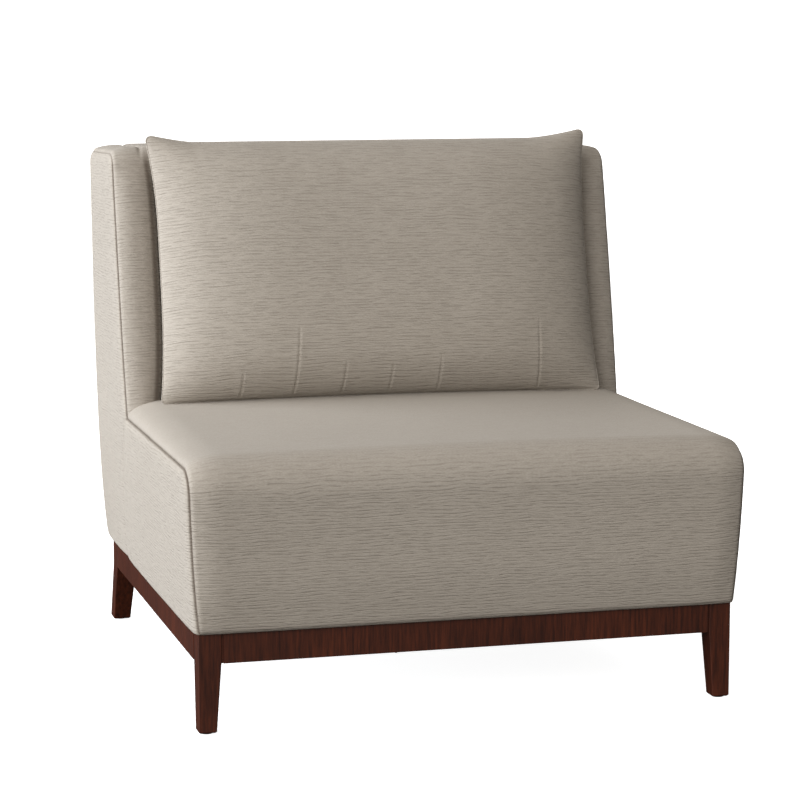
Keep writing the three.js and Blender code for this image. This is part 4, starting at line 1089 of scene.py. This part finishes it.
def area_light(name, place, target, size, power, colour):
    """A soft box that faces its target."""
    data = bpy.data.lights.new(name, "AREA")
    data.shape = "RECTANGLE"
    data.size, data.size_y = size
    data.energy = power
    data.color = colour
    light = bpy.data.objects.new(name, data)
    light.location = place
    light.rotation_euler = (Vector(target) - Vector(place)).to_track_quat("-Z", "Y").to_euler()
    bpy.context.scene.collection.objects.link(light)
    return light


def studio_world():
    """Light from all round, strongest from the front left and above, and weaker from below."""
    world = bpy.data.worlds.new("studio")
    world.use_nodes = True
    tree = world.node_tree
    background = next(n for n in tree.nodes if n.type == "BACKGROUND")
    background.inputs["Color"].default_value = (1.045, 1.0, 0.95, 1)
    direction = tree.nodes.new("ShaderNodeTexCoord").outputs["Generated"]
    toward = tree.nodes.new("ShaderNodeVectorMath")
    toward.operation = "DOT_PRODUCT"
    toward.inputs[1].default_value = (-0.6, -0.68, 0.42)
    lobe = tree.nodes.new("ShaderNodeMapRange")
    height = tree.nodes.new("ShaderNodeSeparateXYZ")
    fade = tree.nodes.new("ShaderNodeMapRange")
    product = tree.nodes.new("ShaderNodeMath")
    product.operation = "MULTIPLY"
    for node, values in ((lobe, (0.0, 1.0, 0.06, 1.18)), (fade, (-0.4, 0.15, 0.5, 1.0))):
        for key, value in zip(("From Min", "From Max", "To Min", "To Max"), values):
            node.inputs[key].default_value = value
    for source, socket in (
        (direction, toward.inputs[0]), (direction, height.inputs[0]),
        (height.outputs["Z"], fade.inputs["Value"]), (toward.outputs["Value"], lobe.inputs["Value"]),
        (fade.outputs[0], product.inputs[0]), (lobe.outputs[0], product.inputs[1]),
        (product.outputs[0], background.inputs["Strength"]),
    ):
        tree.links.new(source, socket)
    return world


FLOOR_REACH = 8.0
BEND = 1.2
WALL_TOP = 9.0
stage_piece("floor", [(radius, 0.0) for radius in (0.002, 1.5, 4.0, FLOOR_REACH)], 0.92)
bend = [(FLOOR_REACH + BEND * math.sin(t), BEND * (1 - math.cos(t))) for t in np.linspace(0, math.pi / 2, 13)]
backdrop = stage_piece("backdrop", bend + [(FLOOR_REACH + BEND, WALL_TOP)], 1.0)
backdrop.visible_shadow = False

area_light("key_light", (-4.1, 0.7, 1.5), (0, 0, 0.45), (3.4, 2.4), 252, (0.94, 0.99, 1.06))
area_light("front_light", (-3.0, -4.1, 2.7), (0, 0, 0.45), (2.4, 2.2), 110, (1.0, 1.0, 1.0))
rear_light = area_light("rear_light", (1.6, 5.2, 2.4), (0, 0.3, 0.5), (2.6, 2.2), 120, (1.0, 0.99, 0.97))
rear_light.visible_glossy = False
bpy.context.scene.world = studio_world()
bpy.context.scene.view_settings.view_transform = "Standard"

# The camera: focal length in pixels of the 800 px frame, its place from the middle of the base, tilt and turn
FOCAL_PIXELS = 2369.52
FRAME_PIXELS = 800
SENSOR = 36
CAMERA_TILT = 0.1262
CAMERA_TURN = 0.2729
camera = bpy.data.objects.new("camera", bpy.data.cameras.new("camera"))
camera.data.sensor_width = SENSOR
camera.data.lens = FOCAL_PIXELS / FRAME_PIXELS * SENSOR
camera.data.clip_end = 60
camera.location = (-1.0621, (FRONT + REAR) / 2 - 3.7904, 0.938)
camera.rotation_euler = (math.pi / 2 - CAMERA_TILT, 0, -CAMERA_TURN)
bpy.context.scene.collection.objects.link(camera)
bpy.context.scene.camera = camera
